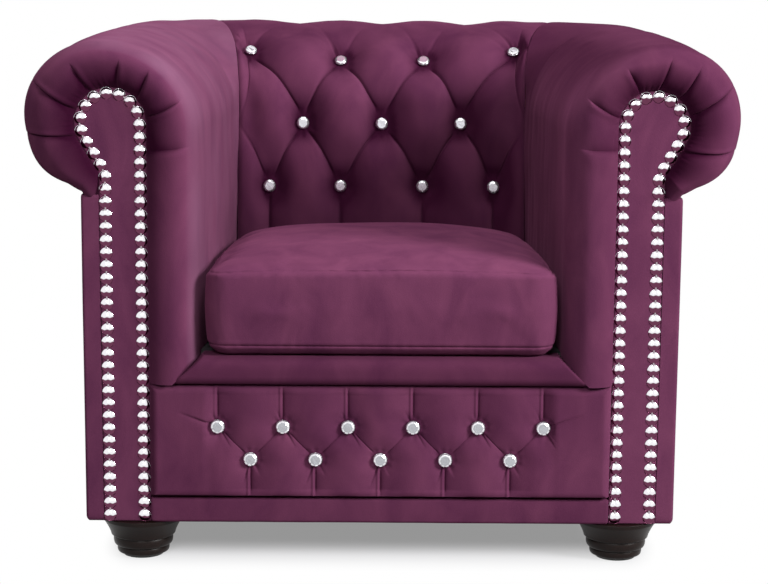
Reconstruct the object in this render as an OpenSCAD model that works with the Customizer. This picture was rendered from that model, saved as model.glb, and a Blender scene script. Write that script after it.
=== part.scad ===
// Button-tufted roll-arm club chair
// Front faces -Y, the right arm is at +X, the floor is Z = 0 and the origin is under the middle.
// A depth is always measured back from the foremost plane of the chair.

/* [Overall] */
// Width over the arm rolls
total_w = 1050; // [1000:5:1120]
// Depth from the front border to the back roll
total_d = 865; // [840:5:920]
// Height of the back roll's crest
total_h = 788; // [770:1:820]
// Height of the upholstered base above the floor
base_z = 62; // [56:1:80]

/* [Arms] */
// Radius of the roll at the front of the arm
arm_roll_r = 114; // [108:1:122]
// How much lower the arm's crest is at the front than the back's crest
arm_drop = 14; // [4:1:24]
// Width of an arm at the front, from the outside of the roll to the inner face
arm_w = 263; // [257:1:269]
// The same width at the rear corner
arm_rear_w = 280; // [275:1:285]
// Height over which the inner faces roll over to the back's crest
spring_drop = 148; // [138:1:163]
// Overhang of the roll past the outside arm panel
roll_overhang = 89; // [83:1:93]
// Plan radius of the roll where it turns into the back
corner_r = 110; // [100:1:115]
// Depth that the padding rolls round at the front of the arm
arm_front_roll = 60; // [50:1:70]
// Depth of each radial pleat
arm_pleat = 7; // [3:1:10]

/* [Facings] */
// Width of the facing below the scroll head
facing_w = 70; // [66:1:74]
// Distance from the outside of the roll in to the facing's outer edge
facing_inset = 116; // [112:1:120]
// Radius of the scroll head
scroll_r = 52.5; // [48:0.5:56]
// Depth of the scroll head's centre below the arm's crest
scroll_drop = 122; // [114:1:129]
// Thickness of the facing board with its velvet
facing_t = 12; // [9:1:15]
// Diameter of a nail head
nail_d = 16.6; // [14:0.1:17.5]
// Distance from nail to nail
nail_pitch = 18.4; // [17.8:0.1:22]
// Distance of the nail line from the facing's edge
nail_margin = 9.5; // [9:0.5:12]

/* [Back] */
// Radius of the back roll
back_roll_r = 110; // [104:1:114]
// Thickness of the back at seat level, up to the rearmost point of its roll
back_low_t = 345; // [335:1:355]
// The same thickness where the inner back starts to roll over
back_high_t = 305; // [295:1:315]
// Distance from the outside of the arm roll in to the end of the back's crest
crest_inset = 225; // [219:1:231]
// Depth of the tufts
tuft_depth = 38; // [24:1:40]

/* [Front] */
// Height of the tufted front panel's lower edge
panel_low_z = 100; // [94:1:108]
// Height of the seam between the front panel and the border
border_z = 272; // [266:1:278]
// Height of the lower row of buttons
front_row_z = 160; // [155:1:165]
// Height between the two rows
front_row_gap = 49; // [44:1:54]
// Depth of the front tufts
front_tuft = 13; // [8:1:16]
// Diameter of a crystal button
button_d = 21; // [16:0.5:24]
// Height of a crystal above its metal cup
crystal_h = 4; // [3:0.5:6]

/* [Seat cushion] */
// Height of the deck that the cushion lies on
deck_z = 314; // [308:1:320]
// Height of the boxing between the seams
boxing_h = 113; // [100:1:125]
// Rise of the crown above the top seam
crown = 32; // [10:1:38]
// Radius of the cushion's corners in plan
cushion_corner_r = 46; // [30:1:60]
// Distance that the boxing bows out
boxing_bow = 5; // [2:0.5:8]

/* [Feet] */
// Diameter of a foot at the top
foot_top_d = 116; // [100:1:120]
// Diameter of a foot at the bottom
foot_bottom_d = 72; // [60:1:80]
// Distance from the outside of the roll in to a front foot's axis
foot_inset = 168; // [163:1:173]
// Depth of the front feet
foot_front_y = 70; // [66:1:78]
// Diameter of a foot bolt
bolt_d = 10; // [8:1:12]

/* [Frame] */
// Thickness of a seat rail
rail_t = 24; // [20:1:26]
// Height of the top of the seat rails
rail_top_z = 262; // [255:1:263]
// Thickness of an arm front board
arm_board_t = 22; // [18:1:24]
// Width of a back post
post_w = 64; // [58:1:66]
// Depth of a back post
post_d = 48; // [40:1:50]
// Thickness of the velvet with its backing
velvet_t = 3; // [2:0.5:4]
// Thickness of the foam on the inner arm
arm_foam_t = 44; // [36:1:46]

/* [Hidden] */
$fn = 48;

// Clearance between pieces that touch, and the overrun of a cut
gap = 0.3;
overrun = 1;
// Thickness of the dust cover under the base
dust_t = 1;

// Places that follow from the driving sizes
front_y = -total_d / 2;
arm_crest_z = total_h - arm_drop;
spring_z = total_h - spring_drop;
scroll_z = arm_crest_z - scroll_drop;
arm_inner_x = total_w / 2 - arm_w;
arm_rear_x = total_w / 2 - arm_rear_w;
outside_x = total_w / 2 - roll_overhang;
facing_outer_x = total_w / 2 - facing_inset;
facing_inner_x = facing_outer_x - facing_w;
back_low_y = total_d - back_low_t;
back_high_y = total_d - back_high_t;
back_crest_x = total_w / 2 - crest_inset;
foot_x = total_w / 2 - foot_inset;
arm_roll_x = total_w / 2 - arm_roll_r;
back_roll_y = total_d - back_roll_r;
corner_y = back_roll_y - corner_r;
scroll_x = facing_inner_x + scroll_r;
roll_z = arm_crest_z - arm_roll_r;
under_angle = acos((outside_x - arm_roll_x) / arm_roll_r);
mitre_x = arm_inner_x + deck_z - border_z;

// Where the front layers lie
arm_bulge_y = 1;
facing_y = 22;
board_y = facing_y + facing_t + gap;
board_rear_y = board_y + arm_board_t;
arm_straight_y = arm_bulge_y + arm_front_roll;
scroll_leave_angle = 30;
neck_z = scroll_z - scroll_r * sin(scroll_leave_angle)
    - (scroll_x + scroll_r * cos(scroll_leave_angle) - facing_outer_x) / tan(scroll_leave_angle);
arm_core_x = arm_inner_x + velvet_t + gap + arm_foam_t;
roll_core_depth = 54;
back_core_depth = 60;
roll_core_reach = 92.5;
back_core_y = back_roll_y - roll_core_reach;
mitre_power = 1.6;
corner_lag = 30;

function lerp(a, b, f) = a + (b - a) * f;
function clamp01(f) = min(1, max(0, f));

// How far a section has travelled round the arm, from 0 at the front to 1 at the back's mitre
straight_share = 0.75;
function travel(y, turn) = straight_share * clamp01((y - arm_straight_y) / (corner_y - arm_straight_y))
    + (1 - straight_share) * turn / 90;

// A point on the arm's skin: t is 0 to 1 up the inner face, 1 to 2 over to the crest,
// 2 to 3 out to the side and 3 to 4 under the roll
function arm_skin(y, turn, t, inset, inner = undef) =
    let (
        way = travel(y, turn),
        crest = lerp(arm_crest_z, total_h, way),
        r = lerp(arm_roll_r, back_roll_r, way),
        cx = arm_roll_x - (arm_roll_x - back_crest_x) * (1 - cos(turn)),
        cy = y + (back_roll_y - corner_y) * sin(turn),
        along = clamp01((y - arm_straight_y) / (corner_y - arm_straight_y)),
        face_y = lerp(min(y, arm_straight_y), back_high_y - corner_lag, along)
            + corner_lag * turn / 90,
        face_x = is_undef(inner) ? lerp(arm_inner_x, arm_rear_x, way) + inset : inner,
        face_depth = face_y + (y < arm_straight_y ? 0 : inset * turn / 90)
    )
    t <= 1 ? [face_x, face_depth, lerp(deck_z, spring_z, t)] :
    t <= 2 ? let (a = 90 * (t - 1), fx = 1 - pow(1 - cos(a), lerp(1, mitre_power, turn / 90)))
        [lerp(cx, face_x, fx), lerp(cy, face_depth, cos(a)),
         spring_z + (crest - inset - spring_z) * sin(a)] :
    let (a = t <= 3 ? 90 * (t - 2) : 90 + under_angle * (t - 3), rr = r - inset,
        low = arm_roll_r - inset + (crest - r - roll_z) / sin(under_angle))
    [cx + cos(turn) * rr * sin(a), cy + sin(turn) * rr * sin(a), crest - r + (t <= 3 ? rr : low) * cos(a)];

// The facing's outline with the same t
arch_share = 0.4;
function facing_edge(t, grow = 0) =
    let (r = scroll_r + grow, lean = scroll_leave_angle)
    t <= 1 ? [facing_inner_x - grow, lerp(border_z, scroll_z, t)] :
    t <= 3 ? [scroll_x - r * cos(90 * (t - 1)), scroll_z + r * sin(90 * (t - 1))] :
    let (f = t - 3, a = lean * min(1, f / arch_share), s = max(0, (f - arch_share) / (1 - arch_share)))
    [lerp(scroll_x + r * cos(a), facing_outer_x + grow, s), lerp(scroll_z - r * sin(a), neck_z, s)];

// The padded front of the arm between the facing and the skin: roll is -90 at the facing
// and 90 where the skin runs straight back
ring_split_share = 0.42;
ring_w = facing_inner_x - arm_inner_x;
function arm_front(roll, extra, t, inset, inner = undef) =
    let (
        dip = facing_y - arm_bulge_y,
        raw = ring_split_share + (roll < 0 ? ring_split_share : 1 - ring_split_share) * sin(roll),
        e = lerp((gap + inset) / ring_w, 1, raw),
        reach = roll < 0 ? dip : arm_front_roll,
        y = arm_bulge_y + inset + (reach - inset) * (1 - cos(roll)) + extra,
        edge = facing_edge(t),
        skin = arm_skin(arm_straight_y, 0, t, inset, inner),
        x = lerp(edge[0], skin[0], e),
        low = border_z + gap + (deck_z - border_z) * clamp01((mitre_x - x) / (mitre_x - arm_inner_x)),
        z = t <= 1 ? lerp(low, lerp(scroll_z, spring_z, e), t) : lerp(edge[1], skin[2], e)
    )
    [x, y, z];

// A triangle-meshed solid between two grids with the same rows and columns
function near_zero(n, per) = let (m = ((n % per) + per) % per) min(m, per - m);
function cell(a, b, c, d, anti, flip) =
    anti ? (flip ? [[a, c, b], [b, c, d]] : [[a, b, c], [b, d, c]])
         : (flip ? [[a, d, b], [a, c, d]] : [[a, b, d], [a, d, c]]);
function grid_cells(rows, cols, start, flip, lattice) = [
    for (i = [0 : rows - 2]) for (j = [0 : cols - 2])
    let (a = start + i * cols + j,
         anti = is_undef(lattice) ? (i + j) % 2 == 0 :
             near_zero(i + j + 1 + lattice[1], lattice[0]) < near_zero(j - i + lattice[2], lattice[0]))
    each cell(a, a + 1, a + cols, a + cols + 1, anti, flip)
];
function grid_loop(rows, cols) = concat(
    [for (j = [0 : cols - 2]) j],
    [for (i = [0 : rows - 2]) i * cols + cols - 1],
    [for (j = [cols - 1 : -1 : 1]) (rows - 1) * cols + j],
    [for (i = [rows - 1 : -1 : 1]) i * cols]);
module between_grids(outer, inner, lattice = undef) {
    rows = len(outer);
    cols = len(outer[0]);
    count = rows * cols;
    loop = grid_loop(rows, cols);
    polyhedron(
        points = concat([for (row = outer) each row], [for (row = inner) each row]),
        faces = concat(
            grid_cells(rows, cols, 0, false, lattice),
            grid_cells(rows, cols, count, true, lattice),
            [for (k = [0 : len(loop) - 1])
                let (p = loop[k], q = loop[(k + 1) % len(loop)])
                each [[p, p + count, q], [q, p + count, q + count]]]),
        convexity = 8);
}

// Stations along the arm: a front row is [roll, extra depth] and a skin row [90, 0, turn, tuck, depth]
front_rolls = [-90, -50, 0, 32, 62];
corner_turns = [22.5, 45, 67.5, 84];
arm_straight_shares = [0.25, 0.6, 1];
seam_tuck = 12;
function arm_rows() = concat(
    [[-90, facing_t]],
    [for (roll = front_rolls) [roll, 0]],
    [[90, 0]],
    [for (f = arm_straight_shares) [90, 0, 0, 0, lerp(arm_straight_y, corner_y, f)]],
    [for (a = corner_turns) [90, 0, a, 0, corner_y]],
    [[90, 0, 90, seam_tuck, corner_y]]);
pleat_places_share = [0.876, 1.2, 1.6, 1.91, 2.35, 2.7, 3.22];
pleat_half_share = 0.14;
arm_low_shares = [0, 0.3, 0.6];
arm_end_shares = [3.6, 4];
function arm_columns() = concat(arm_low_shares,
    [for (k = [1 : len(pleat_places_share) - 1])
        each [pleat_places_share[k - 1], (pleat_places_share[k - 1] + pleat_places_share[k]) / 2]],
    [pleat_places_share[len(pleat_places_share) - 1]],
    arm_end_shares);
function pleat_at(t) = max([for (p = pleat_places_share) max(0, 1 - abs(t - p) / pleat_half_share)]);
pleat_start_share = 0.5;
function pleat_fade(roll) = roll <= front_rolls[1] ? pleat_start_share : cos(roll);
function arm_point(row, t, inset) =
    let (dent = inset + arm_pleat * pleat_at(t) * pleat_fade(row[0]) * (row[0] < 90 ? 1 : 0))
    row[0] < 90 ? arm_front(row[0], row[1], t, dent) :
    len(row) < 3 ? arm_skin(arm_straight_y, 0, t, inset) :
    arm_skin(row[4], row[2], t, inset + row[3]);
front_rows = len(front_rolls) + 1;
function arm_core_point(i, row, t) =
    i < front_rows ? let (p = arm_front(-90, 0, t, velvet_t + 3 * gap),
            q = arm_core_skin(arm_straight_y, 0, t), e = i / (front_rows - 1))
        [lerp(p[0], q[0], e), board_y - gap, lerp(p[2], q[2], e)] :
    arm_core_skin(len(row) < 3 ? arm_straight_y : row[4], len(row) < 3 ? 0 : row[2], t);
function arm_core_skin(y, turn, t) = arm_skin(y, turn, t, roll_core_depth, arm_core_x);
function placed(p) = [p[0], p[1] + front_y, p[2]];
function arm_grid(inset) = [for (row = arm_rows())
    [for (t = arm_columns()) placed(arm_point(row, t, inset))]];
function arm_core_grid() = let (rows = arm_rows())
    [for (i = [0 : len(rows) - 1]) [for (t = arm_columns()) placed(arm_core_point(i, rows[i], t))]];

// Mirrors a piece of the right arm to the side that is asked for
module on_side(side) {
    mirror([side < 0 ? 1 : 0, 0, 0]) children();
}
module arm_cover(side) {
    color("#5c2a48") on_side(side) between_grids(arm_grid(velvet_t), arm_grid(0));
}
module arm_foam(side) {
    color("#e8dcb0") on_side(side) between_grids(arm_core_grid(), arm_grid(velvet_t + gap));
}

// Facing board, flat in front, with the scroll head
facing_samples = 16;
module facing_outline(grow = 0) {
    polygon(concat(
        [[facing_outer_x + grow, base_z], [facing_inner_x - grow, base_z]],
        [for (k = [0 : facing_samples]) facing_edge(lerp(0, 3 + arch_share, k / facing_samples), grow)],
        [facing_edge(4, grow)]));
}
// Lays a front outline in XZ and gives it a thickness towards the rear
module stand_up(y, thickness) {
    translate([0, front_y + y + thickness, 0]) rotate([90, 0, 0]) linear_extrude(thickness) children();
}
module arm_facing(side) {
    color("#5c2a48") on_side(side) stand_up(facing_y, facing_t) facing_outline();
}

// Nails: up the inner edge, round the scroll head, down the slant and down the outer edge
nail_first_z = base_z + nail_margin;
nail_r = scroll_r - nail_margin;
nail_inner_x = facing_inner_x + nail_margin;
nail_outer_x = facing_outer_x - nail_margin;
nail_neck_z = scroll_z - nail_r * sin(scroll_leave_angle)
    - (scroll_x + nail_r * cos(scroll_leave_angle) - nail_outer_x) / tan(scroll_leave_angle);
nail_slant = (scroll_x + nail_r * cos(scroll_leave_angle) - nail_outer_x) / sin(scroll_leave_angle);
nail_rise = scroll_z - nail_first_z;
nail_arc = nail_r * (180 + scroll_leave_angle) * PI / 180;
nail_drop = nail_neck_z - nail_first_z;
nail_run = nail_rise + nail_arc + nail_slant + nail_drop;
nail_count = floor(nail_run / nail_pitch) + 1;
nail_step = nail_run / (nail_count - 1);
function nail_at(d) =
    d <= nail_rise ? [nail_inner_x, nail_first_z + d] :
    d <= nail_rise + nail_arc ? let (a = 180 - (d - nail_rise) / nail_r * 180 / PI)
        [scroll_x + nail_r * cos(a), scroll_z + nail_r * sin(a)] :
    d <= nail_rise + nail_arc + nail_slant ?
        let (f = (d - nail_rise - nail_arc) / nail_slant)
        [lerp(scroll_x + nail_r * cos(scroll_leave_angle), nail_outer_x, f),
         lerp(scroll_z - nail_r * sin(scroll_leave_angle), nail_neck_z, f)] :
    [nail_outer_x, nail_neck_z - (d - nail_rise - nail_arc - nail_slant)];
nail_h_share = 0.34;
module nail_dome() {
    h = nail_d * nail_h_share;
    r = (nail_d * nail_d / 4 + h * h) / (2 * h);
    intersection() {
        translate([0, r - h, 0]) sphere(r);
        translate([-nail_d, -nail_d, -nail_d]) cube([2 * nail_d, nail_d, 2 * nail_d]);
    }
}
module arm_nails(side) {
    color("#e4e4e8") on_side(side) for (k = [0 : nail_count - 1]) {
        spot = nail_at(k * nail_step);
        translate([spot[0], front_y + facing_y, spot[1]]) nail_dome();
    }
}

// Outside arm panel: one band of velvet on board from the facing's edge round to the back
panel_t = 5;
panel_top_z = roll_z - arm_roll_r * sin(under_angle) - gap;
panel_corner_r = outside_x - back_crest_x;
module plan_corner(r) {
    intersection() {
        translate([back_crest_x, front_y + corner_y]) circle(r);
        translate([back_crest_x, front_y + corner_y]) square([r, r]);
    }
}
module panel_plan() {
    inner_r = panel_corner_r - panel_t;
    translate([outside_x - panel_t, front_y + facing_y]) square([panel_t, corner_y - facing_y]);
    translate([facing_outer_x + gap, front_y + facing_y])
        square([outside_x - facing_outer_x - gap, facing_t]);
    difference() {
        plan_corner(panel_corner_r);
        translate([back_crest_x, front_y + corner_y]) circle(inner_r);
    }
}
module outside_panel(side) {
    color("#522440") on_side(side) translate([0, 0, base_z])
        linear_extrude(panel_top_z - base_z) panel_plan();
}
outer_back_y = corner_y + panel_corner_r;
module outside_back_panel() {
    color("#522440")
        translate([-back_crest_x + gap, front_y + outer_back_y - panel_t, base_z])
        cube([2 * (back_crest_x - gap), panel_t, panel_top_z - base_z]);
}

// Arm front board: the frame's scroll behind the facing
soft_clear = 1.2;
board_core = roll_core_depth + soft_clear;
board_out_x = outside_x - panel_t - gap;
function board_edge(t) = let (p = arm_skin(arm_straight_y, 0, t, board_core, arm_core_x + soft_clear))
    [p[0], p[2]];
frame_z = base_z + dust_t;
module arm_board(side) {
    color("#c9a26b") on_side(side) stand_up(board_y, arm_board_t)
        polygon(concat(
            [[board_out_x, frame_z], [facing_inner_x, frame_z], [facing_inner_x, border_z - gap],
             [facing_inner_x, deck_z], [arm_core_x + soft_clear, deck_z]],
            [for (t = arm_columns()) if (t > 0) board_edge(t)],
            [[board_out_x, panel_top_z - panel_t]]));
}

// Rails inside the arm, from the front board to the back post
post_inset = 141;
post_outer_x = total_w / 2 - post_inset;
web_w = 50;
web_t = 2;
post_front_y = back_core_y + 2 * web_t + gap;
foot_rear_x = post_outer_x - post_w / 2;
foot_rear_y = post_front_y + post_d / 2;
arm_rail_w = 30;
arm_rail_h = 50;
arm_rail_drop = 138;
arm_rail_top_z = total_h - arm_rail_drop;
tack_rail_drop = 29;
tack_rail_low_z = deck_z - tack_rail_drop;
tack_rail_h = 40;
panel_sheet_t = 4;
arm_rail_x = arm_core_x + soft_clear + panel_sheet_t + gap;
module arm_rail(side, low, high) {
    color("#c9a26b") on_side(side) translate([arm_rail_x, front_y + board_rear_y, low])
        cube([arm_rail_w, post_front_y - board_rear_y, high - low]);
}
module arm_top_rail(side) { arm_rail(side, arm_rail_top_z - arm_rail_h, arm_rail_top_z); }
module arm_tack_rail(side) { arm_rail(side, tack_rail_low_z, tack_rail_low_z + tack_rail_h); }
module arm_inner_panel(side) {
    color("#a98a5c") on_side(side)
        translate([arm_core_x + soft_clear, front_y + board_rear_y, deck_z])
        cube([panel_sheet_t, back_core_y - board_rear_y, spring_z - deck_z]);
}

// Bent fibreboard that carries the foam of the roll
former_t = 3;
former_first_t = 1.2;
function former_row(y, inset) = [for (t = arm_columns()) if (t > former_first_t)
    placed(arm_skin(y, 0, t, inset, arm_core_x + inset - roll_core_depth))];
function former_grid(inset) = concat(
    [former_row(board_rear_y + gap, inset), former_row(arm_straight_y, inset)],
    [for (f = arm_straight_shares) former_row(lerp(arm_straight_y, corner_y, f), inset)]);
module roll_former(side) {
    color("#a98a5c") on_side(side)
        between_grids(former_grid(board_core + former_t), former_grid(board_core));
}

// Tufted back: u counts diamonds from the middle, v counts rows of buttons up from the lowest
back_rows_v = concat([-1.75, -1.1, -0.5], [for (k = [0 : 9]) k / 3], [3.4, 3.9, 4.26, 4.8, 5.3]);
back_row_shares = [[-1.75, 0], [0, 0.589], [1, 0.917], [2, 1.444], [3, 1.93], [4.26, 3], [5.3, 4]];
back_tuft_shares = [[-1.75, 0.35], [-0.5, 0.7], [0, 1], [2, 0.95], [3, 0.42], [4, 0.2], [5.3, 0]];
pleat_rise_share = 0.55;
ogive_share = 0.08;
loose_pleat_share = 0.55;
corner_pull_share = 0.25;
corner_lift_share = 0.18;
edge_calm_share = 0.75;
function ridge(f) = sqrt(max(0, 1 - pow(1 - 2 * abs(f - round(f)), 2)));
function quilt(a, b) =
    let (
        p = (1 - ridge(a)) * (1 - pleat_rise_share * pow(sin(180 * b), 2)),
        q = (1 - ridge(b)) * (1 - pleat_rise_share * pow(sin(180 * a), 2))
    )
    1 - (1 - p) * (1 - q);
function tuft(u, v, last, shift) =
    v < 0 ? lerp(quilt(u + shift / 2, -u + -shift / 2 + shift),
        loose_pleat_share * (1 - ridge(u + shift / 2)), clamp01(-2 * v)) :
    v > last ? lerp(quilt(u + (last + shift) / 2, u - (last + shift) / 2),
        loose_pleat_share * (1 - ridge(u + (last + shift) / 2)), clamp01(2 * (v - last))) :
    quilt(u + (v + shift) / 2, u - (v + shift) / 2);
function ogive(u, v, last, shift) = v <= 0 || v >= last ? 0 :
    let (
        a = u + (v + shift) / 2,
        b = u - (v + shift) / 2,
        fade = sin(min(90, 180 * v)) * sin(min(90, 180 * (last - v)))
    )
    ogive_share * (1 - pow(cos(180 * a) * cos(180 * b), 2)) * fade;
back_half_u = 2;
diamond_ease = 4;
diamond_w = (back_crest_x - diamond_ease) / back_half_u;
// 1 at the outer buttons of the top row, which sit a little higher and further out
function corner_spot(u, v) = exp(-pow((abs(u) - 1.5) / 0.5, 2) - pow((v - 2) / 0.6, 2))
    * (1 - pow(abs(u) / back_half_u, 8));
function back_edge_x(t) = t <= 1 ? arm_rear_x :
    t <= 2 ? lerp(arm_rear_x, back_crest_x, pow(1 - cos(90 * (t - 1)), mitre_power)) : back_crest_x;
function back_section(t, inset, face = undef) =
    let (
        wall_y = is_undef(face) ? lerp(back_low_y, back_high_y, clamp01(t)) + inset : face,
        high_y = is_undef(face) ? back_high_y + inset : face
    )
    t <= 1 ? [wall_y, lerp(deck_z, spring_z, t)] :
    t <= 2 ? let (a = 90 * (t - 1))
        [lerp(back_roll_y, high_y, cos(a)), spring_z + (total_h - inset - spring_z) * sin(a)] :
    let (a = t <= 3 ? 90 * (t - 2) : 90 + under_angle * (t - 3), rr = back_roll_r - inset,
        centre_z = total_h - back_roll_r,
        low = arm_roll_r - inset + (centre_z - roll_z) / sin(under_angle))
    [back_roll_y + rr * sin(a), centre_z + (t <= 3 ? rr : low) * cos(a)];
function back_normal(t) =
    t <= 1 ? [-1, 0] :
    t <= 2 ? let (a = 90 * (t - 1), h = total_h - spring_z, w = back_roll_y - back_high_y,
            n = norm([h * cos(a), w * sin(a)])) [-h * cos(a) / n, w * sin(a) / n] :
    let (a = t <= 3 ? 90 * (t - 2) : 90 + under_angle * (t - 3)) [sin(a), cos(a)];
function back_x(u, v, t) =
    let (
        full = back_half_u * diamond_w,
        edge = back_edge_x(t) - gap,
        s = abs(u) / back_half_u,
        pull = corner_pull_share * diamond_w * corner_spot(u, v)
    )
    sign(u) * (abs(u) * diamond_w - (full - edge) * s * s + pull);
function back_point(u, v, inset, tuck, face = undef) =
    let (
        lift = v + (is_undef(face) ? ogive(u, v, 3, 1) + corner_lift_share * corner_spot(u, v) : 0),
        t = lookup(lift, back_row_shares),
        calm = 1 - edge_calm_share * clamp01((abs(u) / back_half_u - 0.75) * 4),
        depth = tuft_depth * lookup(v, back_tuft_shares),
        dent = is_undef(face) ? depth * tuft(u, v, 3, 1) * calm + tuck : 0,
        p = back_section(t, inset, face),
        n = back_normal(t)
    )
    placed([back_x(u, v, t), p[0] - n[0] * dent, p[1] - n[1] * dent]);
back_steps = 6;
back_cols = 2 * back_half_u * back_steps;
back_tuck = 10;
function back_grid(inset, face = undef) = [for (v = back_rows_v) [for (j = [0 : back_cols])
    back_point(j / back_steps - back_half_u, v, inset, j == 0 || j == back_cols ? back_tuck : 0, face)]];
back_lattice = [back_steps, -back_half_u * back_steps - 3 + back_steps / 2,
    -back_half_u * back_steps + 3 - back_steps / 2];
module back_cover() {
    color("#5c2a48") between_grids(back_grid(velvet_t), back_grid(0), back_lattice);
}
module back_foam() {
    color("#e8dcb0") between_grids(
        back_grid(back_core_depth, back_core_y), back_grid(velvet_t + gap), back_lattice);
}
function back_former_edge(v, extra) =
    back_section(lookup(v, back_row_shares), back_core_depth + extra, back_core_y + extra);
module back_roll_former() {
    rows = [for (v = back_rows_v) if (v > 2) v];
    outer = [for (v = rows) back_former_edge(v, gap)];
    inner = [for (k = [len(rows) - 1 : -1 : 0]) back_former_edge(rows[k], gap + former_t)];
    color("#a98a5c") translate([-back_crest_x, 0, 0])
        rotate([90, 0, 90]) linear_extrude(2 * back_crest_x)
        polygon([for (p = concat(outer, inner)) [p[0] + front_y, p[1]]]);
}

// Crystal buttons: a shallow metal cup behind, a cut crystal in front
button_spots_back = concat(
    [for (u = [-1.5, -0.5, 0.5, 1.5]) [u, 0]],
    [for (u = [-1, 0, 1]) [u, 1]],
    [for (u = [-1.5, -0.5, 0.5, 1.5]) [u, 2]]);
cup_h = 2.5;
button_rise = 13;
outer_rise = 19;
corner_lean = 8;
tip_share = 0.03;
neck_share = 0.7;
module button_cup() {
    stem_h = $rise - 1.5 * gap;
    cylinder(h = cup_h, d = button_d);
    translate([0, 0, -stem_h])
        cylinder(h = stem_h, d1 = button_d * tip_share, d2 = button_d * neck_share);
}
module button_crystal() {
    facets = 12;
    translate([0, 0, cup_h]) cylinder(h = crystal_h, d1 = button_d, d2 = button_d / 2, $fn = facets);
}
module at_back_buttons() {
    for (spot = button_spots_back) {
        u = spot[0];
        v = spot[1];
        t = lookup(v + corner_lift_share * corner_spot(u, v), back_row_shares);
        n = back_normal(t);
        $rise = abs(u) > 1 ? outer_rise : button_rise;
        translate(back_point(u, v, 0, 0)) rotate([acos(n[1]), abs(u) > 1 ? -sign(u) * corner_lean : 0, 0])
            translate([0, 0, $rise]) children();
    }
}
module back_buttons() { color("#e8eaf2") at_back_buttons() button_crystal(); }
module back_button_cups() { color("#b8b8bc") at_back_buttons() button_cup(); }

// Tufted front panel
panel_half_u = 3.5;
pad_end_ease = 4.75;
front_pitch = (facing_inner_x - pad_end_ease) / panel_half_u;
panel_steps = 4;
front_rows_v = [-1.12, -0.5, 0, 0.5, 1, 1.5, 2.29];
pillow_y = 8;
panel_rear_y = 43.7;
panel_edge_dip = 13;
function front_point(u, v, inset) =
    let (
        top = v >= front_rows_v[len(front_rows_v) - 1],
        low = v <= front_rows_v[0],
        edge = abs(u) >= panel_half_u || top || low,
        z = top ? border_z - gap : low ? panel_low_z + gap : front_row_z + front_row_gap * v,
        x = abs(u) >= panel_half_u ? sign(u) * (facing_inner_x - gap) : u * front_pitch,
        dent = edge ? panel_edge_dip : front_tuft * tuft(u, v, 1, 0)
    )
    placed([x, pillow_y + dent + inset, z]);
function front_grid(inset) = [for (v = front_rows_v) [for (j = [0 : 2 * panel_half_u * panel_steps])
    front_point(j / panel_steps - panel_half_u, v, inset)]];
function front_rear_grid() = [for (v = front_rows_v) [for (j = [0 : 2 * panel_half_u * panel_steps])
    let (p = front_point(j / panel_steps - panel_half_u, v, 0)) [p[0], front_y + panel_rear_y, p[2]]]];
panel_lattice = [panel_steps, -panel_half_u * panel_steps - 2, -panel_half_u * panel_steps + 2];
module front_panel_cover() {
    color("#683452") between_grids(front_grid(velvet_t), front_grid(0), panel_lattice);
}
module front_panel_pad() {
    color("#e8dcb0") between_grids(front_rear_grid(), front_grid(velvet_t + gap), panel_lattice);
}
front_button_rise = 6;
module at_front_buttons() {
    spots = concat([for (u = [-2 : 2]) [u, 0]], [for (u = [-2.5 : 2.5]) [u, 1]]);
    $rise = front_button_rise;
    for (spot = spots) {
        p = front_point(spot[0], spot[1], 0);
        translate([p[0], p[1] - $rise, p[2]]) rotate([90, 0, 0]) children();
    }
}
module front_buttons() { color("#e8eaf2") at_front_buttons() button_crystal(); }
module front_button_cups() { color("#b8b8bc") at_front_buttons() button_cup(); }

// Front border under the cushion, mitred into the arms
border_nose_r = 14;
border_back_y = arm_straight_y;
module border_profile() {
    // drawn in depth and height
    nose_z = border_z + gap + border_nose_r;
    top_r = deck_z - nose_z;
    intersection() {
        union() {
            translate([border_nose_r, nose_z]) circle(border_nose_r);
            translate([border_nose_r, border_z + gap])
                square([border_back_y - border_nose_r, 2 * border_nose_r]);
            translate([top_r, nose_z]) circle(top_r);
            translate([top_r, border_z + gap]) square([border_back_y - top_r, deck_z - border_z - gap]);
        }
        translate([0, border_z + gap]) square([border_back_y, deck_z - border_z - gap]);
    }
}
module front_border() {
    color("#683452") difference() {
        translate([-mitre_x, front_y, 0]) rotate([90, 0, 90]) linear_extrude(2 * mitre_x) border_profile();
        for (side = [-1, 1]) on_side(side)
            translate([mitre_x - 2 * gap, front_y - overrun, border_z]) rotate([0, -45, 0])
            translate([0, 0, -total_w / 4]) cube([total_w / 4, border_back_y + 2 * overrun, total_w / 2]);
    }
}
module front_ply_panel() {
    ply_y = panel_rear_y + gap;
    color("#c9a26b") translate([-facing_inner_x + gap, front_y + ply_y, frame_z])
        cube([2 * (facing_inner_x - gap), board_rear_y - ply_y, border_z - gap - frame_z]);
}
band_y = 17;
band_edge_r = 4;
module bottom_band() {
    color("#5c2a48") translate([-facing_inner_x + gap, front_y, 0])
        rotate([90, 0, 90]) linear_extrude(2 * (facing_inner_x - gap))
        hull() for (y = [band_y + band_edge_r, panel_rear_y - band_edge_r])
            for (z = [base_z + band_edge_r, panel_low_z - band_edge_r])
                translate([y, z]) circle(band_edge_r, $fn = 32);
}

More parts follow.
